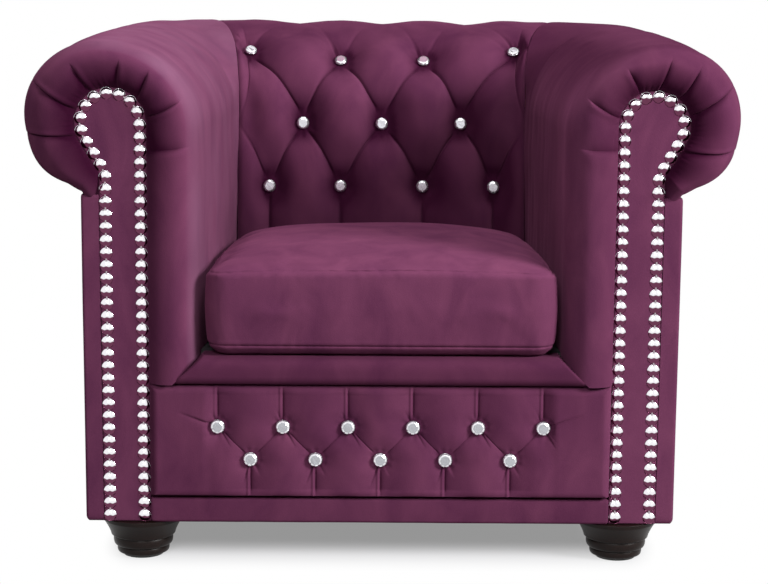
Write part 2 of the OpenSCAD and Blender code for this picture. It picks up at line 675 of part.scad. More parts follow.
// Seat frame
rail_y = board_rear_y;
side_rail_inner_x = post_outer_x;
rear_rail_y = post_front_y + post_d;
block_h = 60;
block_d = 80;
block_x = side_rail_inner_x - gap - post_w - rail_t;
module seat_rail_front() {
    color("#c9a26b") difference() {
        translate([-side_rail_inner_x, front_y + rail_y, frame_z])
            cube([2 * side_rail_inner_x, rail_t, rail_top_z - frame_z]);
        for (side = [-1, 1]) on_side(side)
            translate([block_x, front_y + rail_y - overrun, frame_z - overrun])
            cube([total_w / 2, rail_t + 2 * overrun, block_h + overrun]);
    }
}
module seat_rail_side(side) {
    color("#c9a26b") on_side(side) translate([side_rail_inner_x, front_y + rail_y, frame_z])
        cube([rail_t, rear_rail_y - rail_y, rail_top_z - frame_z]);
}
module seat_rail_rear() {
    color("#c9a26b") translate([-side_rail_inner_x, front_y + rear_rail_y, frame_z])
        cube([2 * side_rail_inner_x, rail_t, rail_top_z - frame_z]);
}
bolt_clear = 0.1;
bolt_bore_d = bolt_d + bolt_clear;
bolt_reach = 46;
module bolt_bore(x, y) {
    translate([x, front_y + y, frame_z - overrun])
        cylinder(h = bolt_reach + overrun + gap, d = bolt_bore_d);
}
module front_corner_blocks() {
    color("#c9a26b") for (side = [-1, 1]) on_side(side) difference() {
        translate([block_x, front_y + rail_y, frame_z])
            cube([side_rail_inner_x - block_x, block_d, block_h]);
        bolt_bore(foot_x, foot_front_y);
    }
}
back_post_drop = 123;
back_post_top_z = total_h - back_post_drop;
module back_post(side) {
    color("#c9a26b") on_side(side) difference() {
        translate([post_outer_x - post_w, front_y + post_front_y, frame_z])
            cube([post_w, post_d, back_post_top_z - frame_z]);
        bolt_bore(foot_rear_x, foot_rear_y);
    }
}
back_rail_t = 30;
module back_rail(low, high) {
    color("#c9a26b") translate([-post_outer_x + post_w, front_y + post_front_y, low])
        cube([2 * (post_outer_x - post_w), back_rail_t, high - low]);
}
module back_top_rail() { back_rail(arm_rail_top_z - arm_rail_h, arm_rail_top_z); }
module back_lower_rail() { back_rail(tack_rail_low_z, tack_rail_low_z + tack_rail_h); }
back_web_count = 5;
module back_webbing() {
    low = tack_rail_low_z + tack_rail_h / 4;
    high = arm_rail_top_z - arm_rail_h / 4;
    pitch = 2 * (post_outer_x - post_w - web_w) / (back_web_count - 1);
    color("#8c7b62") for (k = [0 : back_web_count - 1])
        translate([-post_outer_x + post_w + web_w / 2 + k * pitch, front_y + post_front_y - web_t, low])
        cube([web_w, web_t, high - low]);
}
long_web_count = 7;
cross_web_count = 6;
module seat_webbing_long() {
    run = rear_rail_y + rail_t - rail_y;
    half = post_outer_x - post_w - gap;
    pitch = (2 * half - web_w) / (long_web_count - 1);
    color("#8c7b62") for (k = [0 : long_web_count - 1])
        translate([-half + k * pitch, front_y + rail_y, rail_top_z])
        cube([web_w, run, web_t]);
}
module seat_webbing_cross() {
    run = post_front_y - rail_y - rail_t - web_w;
    pitch = run / (cross_web_count - 1);
    color("#7a6b54") for (k = [0 : cross_web_count - 1])
        translate([-side_rail_inner_x - rail_t, front_y + rail_y + rail_t + k * pitch, rail_top_z + web_t])
        cube([2 * (side_rail_inner_x + rail_t), web_w, web_t]);
}
deck_low_z = rail_top_z + 2 * web_t + gap;
module deck_pad() {
    color("#d8cca0") translate([-arm_core_x, front_y + border_back_y + gap, deck_low_z])
        cube([2 * arm_core_x, back_core_y - border_back_y - gap, deck_z - gap - deck_low_z]);
}
module dust_cover() {
    color("#2b2b2b") difference() {
        translate([-side_rail_inner_x - rail_t / 2, front_y + rail_y + gap, base_z])
            cube([2 * side_rail_inner_x + rail_t, rear_rail_y - rail_y, dust_t]);
        for (side = [-1, 1]) on_side(side) {
            translate([foot_x, front_y + foot_front_y, base_z - overrun])
                cylinder(h = dust_t + 2 * overrun, d = bolt_bore_d);
            translate([foot_rear_x, front_y + foot_rear_y, base_z - overrun])
                cylinder(h = dust_t + 2 * overrun, d = bolt_bore_d);
        }
    }
}

// Turned feet with stacked ridges that get smaller towards the floor
glide_h = 4;
foot_top_z = base_z - gap;
ridge_count = 4;
ridge_groove = 2.5;
foot_collar_h = 12;
module foot(x, y) {
    ridge_h = (foot_top_z - glide_h - foot_collar_h) / ridge_count;
    color("#2a1a14") translate([x, front_y + y, 0]) difference() {
        union() {
            translate([0, 0, foot_top_z - foot_collar_h])
                cylinder(h = foot_collar_h, d = foot_top_d, $fn = 96);
            for (k = [0 : ridge_count - 1]) {
                low_d = lerp(foot_bottom_d, foot_top_d, k / ridge_count);
                high_d = lerp(foot_bottom_d, foot_top_d, (k + 1) / ridge_count) - 2 * ridge_groove;
                translate([0, 0, glide_h + k * ridge_h])
                    cylinder(h = ridge_h, d1 = low_d, d2 = high_d, $fn = 96);
            }
        }
        translate([0, 0, foot_top_z - bolt_reach / 2]) cylinder(h = bolt_reach, d = bolt_bore_d);
    }
}
module at_feet() {
    for (side = [-1, 1]) on_side(side) {
        translate([foot_x, front_y + foot_front_y, 0]) children();
        translate([foot_rear_x, front_y + foot_rear_y, 0]) children();
    }
}
module foot_bolts() {
    low = foot_top_z - bolt_reach / 2 + gap;
    color("#8f9296") at_feet() translate([0, 0, low]) cylinder(h = frame_z + bolt_reach - low, d = bolt_d);
}
module foot_glides() {
    glide_edge = 6;
    color("#3a3a3a") at_feet() cylinder(h = glide_h, d = foot_bottom_d - 2 * glide_edge);
}

// Loose seat cushion: crowned top panel, bowed boxing, flat bottom panel
cushion_front_y = 4;
cushion_rear_clear = 9;
cushion_side_clear = 1.2;
cushion_low_z = deck_z + gap;
seam_lift = 8;
low_seam_z = deck_z + seam_lift;
top_seam_z = low_seam_z + boxing_h;
bottom_inset = 4 * boxing_bow;
corner_points = 4;
edge_points = 4;
cushion_rear_y = back_low_y - cushion_rear_clear;
cushion_d = cushion_rear_y - cushion_front_y;
cushion_middle_y = front_y + cushion_front_y + cushion_d / 2;
function cushion_half(depth) =
    lerp(arm_inner_x, arm_rear_x, straight_share * clamp01((depth - arm_straight_y)
        / (back_high_y - corner_lag - arm_straight_y))) - cushion_side_clear;
// The plan outline as offsets from the corner centres, counted round from the front right corner
function cushion_plan(inset) =
    let (
        r = cushion_corner_r - inset,
        wide = cushion_half(0) - cushion_corner_r,
        half_d = cushion_d / 2 - cushion_corner_r
    )
    [for (q = [0 : 3])
        let (
            sx = q == 0 || q == 3 ? 1 : -1,
            sy = q < 2 ? 1 : -1,
            nx = q == 2 || q == 3 ? 1 : -1
        )
        each concat(
            [for (k = [0 : corner_points]) let (a = 90 * (q + k / corner_points))
                [sx * wide + r * cos(a), sy * half_d + r * sin(a)]],
            [for (k = [1 : edge_points - 1]) let (f = k / edge_points, a = 90 * (q + 1))
                q % 2 == 0 ? [lerp(wide, -wide, f) * sx, sy * (half_d + r)]
                           : [sx * (wide + r), lerp(half_d, -half_d, f) * sy]])];
function taper(p) =
    let (depth = cushion_front_y + cushion_d / 2 + p[1])
    [p[0] * cushion_half(depth) / cushion_half(0), depth];
function cushion_ring(inset, scale_share, z) = [for (p = cushion_plan(inset))
    let (q = taper([p[0] * scale_share, p[1] * scale_share])) placed([q[0], q[1], z])];
top_scale_shares = [0.25, 0.5, 0.72, 0.88, 0.96, 1];
crown_power = 2.4;
function crown_side(f) = 1 - pow(min(1, abs(f)), crown_power);
function crown_at(x, y) = crown * crown_side(x) * crown_side(y);
function crowned(p) = let (f = p[0] / cushion_half(0), g = (p[1] - cushion_middle_y) / (cushion_d / 2))
    [p[0], p[1], p[2] + crown_at(f, g)];
function top_rings(inset) = [for (s = top_scale_shares)
    [for (p = cushion_ring(boxing_bow + inset, s, top_seam_z - inset)) crowned(p)]];
// Levels of the boxing as shares of its height, each with its share of the bow
boxing_level_shares = [[0, 1], [0.22, 0.33], [0.5, 0], [0.78, 0.33], [1, 1]];
function box_rings(inset) = [for (level = boxing_level_shares)
    cushion_ring(boxing_bow * level[1] + inset, 1, lerp(top_seam_z - gap, low_seam_z, level[0]))];
// Closes a stack of rings with a point at each end
module ring_solid(rings, first_z, last_z) {
    n = len(rings[0]);
    m = len(rings);
    centre = placed([0, cushion_front_y + cushion_d / 2, 0]);
    polyhedron(
        points = concat([for (ring = rings) each ring],
            [[centre[0], centre[1], first_z], [centre[0], centre[1], last_z]]),
        faces = concat(
            [for (i = [0 : m - 2]) for (k = [0 : n - 1]) let (l = (k + 1) % n)
                each [[i * n + k, i * n + l, (i + 1) * n + k],
                      [i * n + l, (i + 1) * n + l, (i + 1) * n + k]]],
            [for (k = [0 : n - 1]) [m * n, (k + 1) % n, k]],
            [for (k = [0 : n - 1]) [m * n + 1, (m - 1) * n + k, (m - 1) * n + (k + 1) % n]]),
        convexity = 4);
}
// Joins two stacks of rings into a band, closed at both edges
module ring_band(outer, inner) {
    n = len(outer[0]);
    all = concat(outer, [for (i = [len(inner) - 1 : -1 : 0]) inner[i]]);
    m = len(all);
    polyhedron(
        points = [for (ring = all) each ring],
        faces = [for (i = [0 : m - 1]) for (k = [0 : n - 1])
            let (l = (k + 1) % n, j = (i + 1) % m)
            each [[i * n + k, i * n + l, j * n + k], [i * n + l, j * n + l, j * n + k]]],
        convexity = 8);
}
cloth_t = 2;
core_inset = cloth_t + gap;
module cushion_core() {
    color("#e8dcb0") ring_solid(
        concat(top_rings(core_inset), [for (i = [1 : 3]) box_rings(core_inset)[i]],
            [cushion_ring(boxing_bow + core_inset, 1, low_seam_z),
             cushion_ring(bottom_inset + core_inset, 1, cushion_low_z + cloth_t + gap)]),
        top_seam_z + crown - core_inset, cushion_low_z + cloth_t + gap);
}
module cushion_top_panel() {
    color("#6a3854") difference() {
        ring_solid(concat(top_rings(0), [cushion_ring(boxing_bow + cloth_t, 1, top_seam_z)]),
            top_seam_z + crown, top_seam_z);
        ring_solid(concat(top_rings(cloth_t), [cushion_ring(boxing_bow + cloth_t, 1, top_seam_z - crown)]),
            top_seam_z + crown - cloth_t, top_seam_z - crown);
    }
}
module cushion_boxing() {
    color("#6a3854") ring_band(box_rings(0), box_rings(cloth_t));
}
module cushion_bottom_panel() {
    color("#6a3854") ring_band(
        [cushion_ring(boxing_bow, 1, low_seam_z - gap), cushion_ring(bottom_inset, 1, cushion_low_z)],
        [cushion_ring(boxing_bow + cloth_t, 1, low_seam_z - gap),
         cushion_ring(bottom_inset + cloth_t, 1, cushion_low_z + cloth_t)]);
}
zip_w = 14;
zip_inset = 48.5;
zip_run = 2 * (cushion_half(cushion_rear_y) - zip_inset);
zip_t = 1.2;
zip_z = (top_seam_z + low_seam_z) / 2;
zip_y = cushion_rear_y + gap;
module cushion_zip() {
    color("#3a1c2e") translate([-zip_run / 2, front_y + zip_y, zip_z - zip_w / 2])
        cube([zip_run, zip_t, zip_w]);
}
slider_w = 9;
slider_h = 11;
slider_t = 3;
pull_t = 1;
pull_h = 22;
module zip_slider() {
    color("#b8b8bc") translate([zip_run / 2 - slider_w, front_y + zip_y + zip_t + gap, zip_z]) {
        translate([0, 0, -slider_h / 2]) cube([slider_w, slider_t, slider_h]);
        translate([slider_w / 4, slider_t, slider_h / 4 - pull_h]) cube([slider_w / 2, pull_t, pull_h]);
    }
}

arm_cover(-1);  // left_arm_cover
arm_cover(1);  // right_arm_cover
arm_foam(-1);  // left_arm_foam
arm_foam(1);  // right_arm_foam
arm_facing(-1);  // left_arm_facing
arm_facing(1);  // right_arm_facing
arm_nails(-1);  // left_arm_nails
arm_nails(1);  // right_arm_nails
outside_panel(-1);  // left_outside_panel
outside_panel(1);  // right_outside_panel
outside_back_panel();
arm_board(-1);  // left_arm_board
arm_board(1);  // right_arm_board
arm_top_rail(-1);  // left_arm_top_rail
arm_top_rail(1);  // right_arm_top_rail
arm_tack_rail(-1);  // left_arm_tack_rail
arm_tack_rail(1);  // right_arm_tack_rail
arm_inner_panel(-1);  // left_arm_inner_panel
arm_inner_panel(1);  // right_arm_inner_panel
roll_former(-1);  // left_roll_former
roll_former(1);  // right_roll_former
back_roll_former();
back_cover();
back_foam();
back_buttons();
back_button_cups();
back_post(-1);  // back_post_left
back_post(1);  // back_post_right
back_top_rail();
back_lower_rail();
back_webbing();
front_border();
front_panel_cover();
front_panel_pad();
front_ply_panel();
bottom_band();
front_buttons();
front_button_cups();
seat_rail_front();
seat_rail_rear();
seat_rail_side(-1);  // seat_rail_left
seat_rail_side(1);  // seat_rail_right
front_corner_blocks();
seat_webbing_long();
seat_webbing_cross();
deck_pad();
dust_cover();
foot(-foot_x, foot_front_y);  // foot_front_left
foot(foot_x, foot_front_y);  // foot_front_right
foot(-foot_rear_x, foot_rear_y);  // foot_rear_left
foot(foot_rear_x, foot_rear_y);  // foot_rear_right
foot_bolts();
foot_glides();
cushion_core();
cushion_top_panel();
cushion_boxing();
cushion_bottom_panel();
cushion_zip();
zip_slider();
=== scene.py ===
import math
import random

import bmesh
import bpy
import numpy as np
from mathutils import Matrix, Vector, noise


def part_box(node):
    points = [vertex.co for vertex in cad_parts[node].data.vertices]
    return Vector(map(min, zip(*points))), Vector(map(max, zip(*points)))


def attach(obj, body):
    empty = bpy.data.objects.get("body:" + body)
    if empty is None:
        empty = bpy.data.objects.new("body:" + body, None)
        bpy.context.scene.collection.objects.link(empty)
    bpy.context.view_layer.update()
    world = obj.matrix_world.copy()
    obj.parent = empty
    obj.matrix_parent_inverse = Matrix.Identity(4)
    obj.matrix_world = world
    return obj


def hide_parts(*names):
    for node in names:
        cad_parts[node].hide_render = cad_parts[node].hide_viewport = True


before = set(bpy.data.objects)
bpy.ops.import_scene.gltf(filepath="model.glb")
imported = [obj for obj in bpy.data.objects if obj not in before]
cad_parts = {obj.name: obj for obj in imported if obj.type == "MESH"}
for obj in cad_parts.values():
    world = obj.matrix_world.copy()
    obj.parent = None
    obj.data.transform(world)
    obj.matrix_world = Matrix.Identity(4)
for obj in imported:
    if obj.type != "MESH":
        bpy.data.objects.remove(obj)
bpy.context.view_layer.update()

# Studio. The chair stands on a wide sheet of white paper, seen straight in front from a little
# above its back. Softboxes stand in front, at the right, overhead and, for the rear, behind;
# the walls are white.
camera = bpy.data.objects.new("camera", bpy.data.cameras.new("camera"))
bpy.context.collection.objects.link(camera)
camera.location = (-0.007, -3.1325, 0.853)
camera.rotation_euler = (math.radians(90 - 9.26), math.radians(-0.41), math.radians(-0.16))
camera.data.sensor_width = 36
camera.data.lens = 88.8
bpy.context.scene.camera = camera
bpy.context.scene.view_settings.view_transform = "Standard"


def colour(code):
    """Turns an sRGB hex code into the linear colour that a socket takes."""
    parts = [int(code[k:k + 2], 16) / 255 for k in (1, 3, 5)]
    return [c / 12.92 if c <= 0.04045 else ((c + 0.055) / 1.055) ** 2.4 for c in parts] + [1]


def add(tree, kind, settings={}, links={}):
    """Adds a node. Lower-case settings are the node's own, the others are its sockets, where a
    colour is a hex code, and stops are a ramp's places and codes. A link from a node is from its
    first output in use."""
    node = tree.nodes.new("ShaderNode" + kind)
    for name, value in settings.items():
        if name == "stops":
            for stop, (place, code) in zip(node.color_ramp.elements, value):
                stop.position, stop.color = place, colour(code)
        elif isinstance(name, str) and name[0].islower():
            setattr(node, name, value)
        else:
            node.inputs[name].default_value = colour(value) if isinstance(value, str) else value
    for name, source in links.items():
        if isinstance(source, bpy.types.Node):
            source = next(socket for socket in source.outputs if socket.enabled)
        tree.links.new(source, node.inputs[name])
    return node


def seen_directly(tree):
    """1 for what the camera sees, also mirrored or through the crystals, and 0 for other light."""
    rays = add(tree, "LightPath")
    seen = add(tree, "Math", {"operation": "MAXIMUM"},
               {0: rays.outputs["Is Camera Ray"], 1: rays.outputs["Is Transmission Ray"]})
    return add(tree, "Math", {"operation": "MAXIMUM"}, {0: seen, 1: rays.outputs["Is Glossy Ray"]})


world = bpy.data.worlds.new("white_room")
world.use_nodes = True
tree = world.node_tree
tree.nodes.clear()
walls = add(tree, "Background", {"Color": "#F2F0F3", "Strength": 0.1})
white = add(tree, "Background", {"Color": (1, 1, 1, 1), "Strength": 1.0})
room = add(tree, "MixShader", {}, {0: seen_directly(tree), 1: walls, 2: white})
add(tree, "OutputWorld", {}, {"Surface": room})
bpy.context.scene.world = world

seat_middle = (0.0, 0.0, 0.4)
for name, place, size, power in (
        ("softbox_front", (-0.5, -3.5, 2.3), 1.3, 66), ("softbox_right", (2.9, -2.1, 2.0), 1.1, 188),
        ("softbox_top", (0.1, -0.2, 2.8), 1.4, 41), ("softbox_rear", (-1.4, 3.2, 1.7), 1.5, 60)):
    lamp = bpy.data.lights.new(name, "AREA")
    lamp.shape = "SQUARE"
    lamp.size = size
    lamp.energy = power
    softbox = bpy.data.objects.new(name, lamp)
    softbox.location = place
    aim = np.array(seat_middle) - np.array(place)
    softbox.rotation_euler = (math.acos(-aim[2] / np.linalg.norm(aim)), 0, math.atan2(-aim[0], aim[1]))
    bpy.context.collection.objects.link(softbox)

# White paper, pure white to the camera and in reflections away from the chair. Under and round the chair it
# turns to a grey paper with a faint glow, which takes the chair's own soft shadow but is also a painted
# shadow, darker than white even where lit; it fades out past the chair's edges. The chair itself gets plain
# grey light back.


def new_material(name):
    """Starts a material with an empty tree and hands back both."""
    material = bpy.data.materials.new(name)
    material.use_nodes = True
    material.node_tree.nodes.clear()
    return material, material.node_tree


def surface(tree, shader):
    """Ends a tree in its output."""
    add(tree, "OutputMaterial", {}, {"Surface": shader})


paper, tree = new_material("white_paper")
# how far a place is from the shadow's middle, less its half size, as a share of its soft edge
spread = add(tree, "TexCoord").outputs["Object"]
for step, by in (("SUBTRACT", (0.0, 0.09, 0.0)), ("ABSOLUTE", (0.0, 0.0, 0.0)),
                 ("SUBTRACT", (0.36, 0.38, 0.0)), ("MAXIMUM", (0.0, 0.0, 0.0)),
                 ("MULTIPLY", (1 / 0.07, 1 / 0.17, 0.0))):
    spread = add(tree, "VectorMath", {"operation": step, 1: by}, {0: spread})
away = add(tree, "VectorMath", {"operation": "LENGTH"}, {0: spread})
fade = add(tree, "MapRange", {"interpolation_type": "SMOOTHSTEP"}, {"Value": away.outputs["Value"]})
# painted shadow in part: this grey paper under and round the chair is darker than white even where lit, and
# also takes the chair's real shadow
shadow_paper = add(tree, "BsdfDiffuse", {"Color": "#96959A"})
glow = add(tree, "Emission", {"Color": (1, 1, 1, 1), "Strength": 0.3})
lit = add(tree, "AddShader", {}, {0: shadow_paper, 1: glow})
plain = add(tree, "Emission", {"Color": (1, 1, 1, 1), "Strength": 1.0})
blend = add(tree, "MixShader", {}, {0: fade, 1: lit, 2: plain})
bounce = add(tree, "BsdfDiffuse", {"Color": "#8A8486"})
both = add(tree, "MixShader", {}, {0: seen_directly(tree), 1: bounce, 2: blend})
surface(tree, both)
floor_mesh = bpy.data.meshes.new("paper_floor")
floor_mesh.from_pydata([(-30, -30, 0), (30, -30, 0), (30, 30, 0), (-30, 30, 0)], [], [(0, 1, 2, 3)])
floor_mesh.materials.append(paper)
paper_floor = bpy.data.objects.new("paper_floor", floor_mesh)
bpy.context.collection.objects.link(paper_floor)

# Rolled arms. Plum velvet, a dense short cotton-polyester pile on a woven back, is pulled over
# wadding and foam. It rolls round the front of the arm and is gathered in seven stapled pleats
# behind the facing, then it runs back over the roll and turns the rear corner into the back.


def plum_velvet(name, deep, raised):
    """Upholstery velvet: the pile lies in soft strokes, glows at its edges and has no shine."""
    material, tree = new_material(name)
    where = add(tree, "TexCoord")
    long_way = add(tree, "Mapping", {"Scale": (1.0, 1.0, 0.5)}, {"Vector": where.outputs["Object"]})
    # hand strokes in the pile, about 60 mm across
    strokes = add(tree, "TexNoise", {"Scale": 16.0, "Detail": 3.0, "Roughness": 0.55, "Distortion": 0.6},
                  {"Vector": long_way})
    # pile tufts, drawn 1.6 mm across so that they show
    pile = add(tree, "TexNoise", {"Scale": 620.0, "Detail": 2.0, "Roughness": 0.7},
               {"Vector": where.outputs["Object"]})
    lay = add(tree, "Math", {"operation": "MULTIPLY", 1: 0.8}, {0: strokes})
    mixed = add(tree, "Math", {"operation": "MULTIPLY_ADD", 1: 0.2}, {0: pile, 2: lay})
    tone = add(tree, "ValToRGB", {"stops": ((0.3, deep), (0.7, raised))}, {"Fac": mixed})
    # painted shade: where the pieces mark it, the colour turns to near-black plum, in recesses, folds and
    # on faces turned away from the light
    painted_shade_and_highlight = add(tree, "Attribute", {"attribute_name": "painted_shade_and_highlight"})
    shade = add(tree, "Mix", {"data_type": "RGBA", "B": "#220117"},
                {"Factor": painted_shade_and_highlight.outputs["Fac"], "A": tone})
    # painted highlight: below nought the mark turns the colour to a pale mauve, on ridges that face the
    # light
    painted_highlight_by = add(tree, "Math", {"operation": "MULTIPLY", 1: -1.0}, {0: painted_shade_and_highlight.outputs["Fac"]})
    shade = add(tree, "Mix", {"data_type": "RGBA", "B": "#865E77"},
                {"Factor": painted_highlight_by, "A": shade})
    rough = add(tree, "MapRange", {"To Min": 0.75, "To Max": 0.95}, {"Value": strokes})
    nap = add(tree, "Bump", {"Strength": 0.35, "Distance": 0.0006}, {"Height": pile})
    lie = add(tree, "Bump", {"Strength": 0.15, "Distance": 0.004}, {"Height": strokes, "Normal": nap})
    cloth = add(tree, "BsdfPrincipled",
                {"Sheen Weight": 0.14, "Sheen Roughness": 0.5, "Sheen Tint": "#B76B92",
                 "Specular IOR Level": 0.0},
                {"Base Color": shade, "Roughness": rough, "Normal": lie})
    surface(tree, cloth)
    return material


velvet = plum_velvet("plum_velvet", "#532943", "#693852")

total_w, total_d, total_h = 1050.0, 865.0, 788.0
front_y = -total_d / 2
arm_roll_r, arm_crest_z, arm_inner_x, arm_rear_x = 114.0, 774.0, 262.0, 245.0
spring_z, outside_x, corner_r, arm_front_roll = 640.0, 436.0, 110.0, 60.0
back_roll_r, back_high_y, back_crest_x = 110.0, 560.0, 300.0
deck_z, border_z = 314.0, 272.0
facing_inner_x, facing_outer_x, scroll_r, scroll_z, facing_t = 339.0, 409.0, 52.5, 652.0, 12.0
facing_y, arm_bulge_y, gap, ring_split = 22.0, 1.0, 0.3, 0.42
arm_roll_x = total_w / 2 - arm_roll_r
back_roll_y = total_d - back_roll_r
corner_y = back_roll_y - corner_r
scroll_x = facing_inner_x + scroll_r
roll_z = arm_crest_z - arm_roll_r
under_angle = math.acos((outside_x - arm_roll_x) / arm_roll_r)
mitre_x = arm_inner_x + deck_z - border_z
arm_straight_y = arm_bulge_y + arm_front_roll
leave = math.radians(30)
neck_z = scroll_z - scroll_r * math.sin(leave) \
    - (scroll_x + scroll_r * math.cos(leave) - facing_outer_x) / math.tan(leave)
mitre_power, corner_lag = 1.6, 30.0


def lerp(a, b, f):
    return a + (b - a) * f


def share_of(value):
    """A value kept between 0 and 1."""
    return np.clip(value, 0, 1)


def eased(value):
    """The same, but starting and ending softly."""
    f = np.clip(value, 0, 1)
    return f * f * (3 - 2 * f)


def hump(d, width):
    """1 in the middle, falling softly to nought on both sides."""
    return np.exp(-(d / width) ** 2)


def fold_at(d, slow, steep):
    """A fold's section: it falls away slowly on one side and steeply on the other."""
    return np.where(d > 0, np.exp(-d / slow), np.exp(d / steep))


def mesh_piece(name, points, faces, material, sharp=None, marks={}):
    """Makes a smooth mesh object from points in millimetres; marks are named values at each point."""
    spots = np.asarray(points, dtype=float).reshape(-1, 3) * 0.001
    mesh = bpy.data.meshes.new(name)
    mesh.from_pydata(spots.tolist(), [], faces)
    mesh.validate()
    work = bmesh.new()
    work.from_mesh(mesh)
    bmesh.ops.recalc_face_normals(work, faces=work.faces)
    work.to_mesh(mesh)
    work.free()
    mesh.materials.append(material)
    for mark, values in marks.items():
        flat = np.zeros(len(mesh.vertices))
        flat[:len(values)] = values
        mesh.attributes.new(mark, "FLOAT", "POINT").data.foreach_set("value", flat)
    for face in mesh.polygons:
        face.use_smooth = True
    if sharp:
        mesh.set_sharp_from_angle(angle=math.radians(sharp))
    thing = bpy.data.objects.new(name, mesh)
    bpy.context.collection.objects.link(thing)
    return thing


def grid_faces(rows, cols, start=0, crease=None):
    """Faces of a grid; crease says which way a cell is split, so that a fold stays crisp."""
    faces = []
    for i in range(rows - 1):
        for j in range(cols - 1):
            a = start + i * cols + j
            b, c, d = a + 1, a + cols, a + cols + 1
            if crease is None:
                faces.append((a, b, d, c))
            elif crease[i, j]:
                faces += [(a, b, c), (b, d, c)]
            else:
                faces += [(a, b, d), (a, d, c)]
    return faces


def rim_of(rows, cols):
    """The outermost points of a grid, in order round it."""
    return list(range(cols)) + [i * cols + cols - 1 for i in range(1, rows)] \
        + [(rows - 1) * cols + j for j in range(cols - 2, -1, -1)] \
        + [i * cols for i in range(rows - 2, 0, -1)]


def closed_sheet(name, grid, heart, crease, sharp, painted_shade_and_highlight):
    """A padded velvet cover: one grid for what shows, closed inside towards the points in heart."""
    rows, cols = grid.shape[:2]
    faces = grid_faces(rows, cols, 0, crease)
    rim = rim_of(rows, cols)
    points = grid.reshape(-1, 3)
    heart = np.asarray(heart, dtype=float)
    nearest = [int(np.argmin(((heart - points[k]) ** 2).sum(axis=1))) for k in rim]
    first = len(points)
    for k in range(len(rim)):
        p, q = rim[k], rim[(k + 1) % len(rim)]
        m, n = first + nearest[k], first + nearest[(k + 1) % len(rim)]
        faces.append((q, p, m))
        if m != n:
            faces.append((q, m, n))
    return mesh_piece(name, np.vstack([points, heart]), faces, velvet, sharp, {"painted_shade_and_highlight": painted_shade_and_highlight.ravel()})


def arm_skin(y, turn, t, inset):
    """The arm's skin: t is 0 to 1 up the inner face, 2 at the crest, 3 outermost, 4 under."""
    y, turn, t, inset = np.broadcast_arrays(y, turn, t, inset)
    share = turn / 90
    c, s = np.cos(np.radians(turn)), np.sin(np.radians(turn))
    along = share_of((y - arm_straight_y) / (corner_y - arm_straight_y))
    way = 0.75 * along + 0.25 * share
    crest = lerp(arm_crest_z, total_h, way)
    r = lerp(arm_roll_r, back_roll_r, way)
    cx = arm_roll_x - (arm_roll_x - back_crest_x) * (1 - c)
    cy = y + (back_roll_y - corner_y) * s
    face_y = lerp(np.minimum(y, arm_straight_y), back_high_y - corner_lag, along) + corner_lag * share
    face_x = lerp(arm_inner_x, arm_rear_x, way) + inset
    face_y = face_y + np.where(y < arm_straight_y, 0, inset * share)
    a = np.radians(90 * share_of(t - 1))
    fx = 1 - (1 - np.cos(a)) ** lerp(1, mitre_power, share)
    b = np.where(t <= 3, np.radians(90 * share_of(t - 2)),
                 math.pi / 2 + under_angle * share_of(t - 3))
    rr = r - inset
    low = arm_roll_r - inset + (crest - r - roll_z) / math.sin(under_angle)
    x = np.where(t <= 1, face_x, np.where(t <= 2, lerp(cx, face_x, fx), cx + c * rr * np.sin(b)))
    yy = np.where(t <= 1, face_y, np.where(t <= 2, lerp(cy, face_y, np.cos(a)), cy + s * rr * np.sin(b)))
    z = np.where(t <= 1, lerp(deck_z, spring_z, share_of(t)),
                 np.where(t <= 2, spring_z + (crest - inset - spring_z) * np.sin(a),
                          crest - r + np.where(t <= 3, rr, low) * np.cos(b)))
    return np.stack([x, yy, z], axis=-1)


def facing_edge(t, grow=0.0):
    """The facing's outline in X and Z, with the same t."""
    t = np.asarray(t, dtype=float)
    r = scroll_r + grow
    a = np.pi / 2 * np.clip(t - 1, 0, 2)
    f = share_of(t - 3)
    lean = leave * np.minimum(1, f / 0.4)
    s = np.maximum(0, (f - 0.4) / 0.6)
    x = np.where(t <= 1, facing_inner_x - grow, np.where(
        t <= 3, scroll_x - r * np.cos(a), lerp(scroll_x + r * np.cos(lean), facing_outer_x + grow, s)))
    z = np.where(t <= 1, lerp(border_z, scroll_z, t), np.where(
        t <= 3, scroll_z + r * np.sin(a), lerp(scroll_z - r * np.sin(lean), neck_z, s)))
    return x, z


def ring_share(roll):
    """How far the rounded front has come, from 0 at the facing to 1 at the straight roll."""
    return ring_split + np.where(roll < 0, ring_split, 1 - ring_split) * np.sin(np.radians(roll))


def arm_front(roll, extra, t, inset):
    """The padded front: roll is -90 at the facing and 90 where the skin runs straight back."""
    roll, extra, t, inset = np.broadcast_arrays(roll, extra, t, inset)
    ring_w = facing_inner_x - arm_inner_x
    snug = share_of((roll + 90) / 28)
    away = np.where(roll < 0, inset * snug * np.sin(np.radians(-roll)), 0) - 0.5
    e = lerp(away / ring_w, 1, share_of(ring_share(roll)) ** lerp(1, 0.6, share_of((t - 3.5) / 0.5)))
    reach = np.where(roll < 0, facing_y - arm_bulge_y, arm_front_roll)
    y = arm_bulge_y + inset * snug + (reach - inset * snug) * (1 - np.cos(np.radians(roll))) + extra
    edge_x, edge_z = facing_edge(t)
    skin = arm_skin(arm_straight_y, 0.0, t, inset)
    x = lerp(edge_x, skin[..., 0], e)
    low = border_z + gap + (deck_z - border_z) * share_of((mitre_x - x) / (mitre_x - arm_inner_x))
    z = np.where(t <= 1, lerp(low, lerp(scroll_z, spring_z, e), share_of(t)),
                 lerp(edge_z, skin[..., 2], e))
    return np.stack([x, y, z], axis=-1)


def soft_noise(spots, size, seed, stretch=(1, 1, 1)):
    """Smooth noise from -1 to 1 at points in mm, with lumps of the given size."""
    flat = (spots * np.array(stretch)).reshape(-1, 3) / size + seed
    return np.array([noise.noise(p) for p in flat.tolist()]).reshape(spots.shape[:-1])


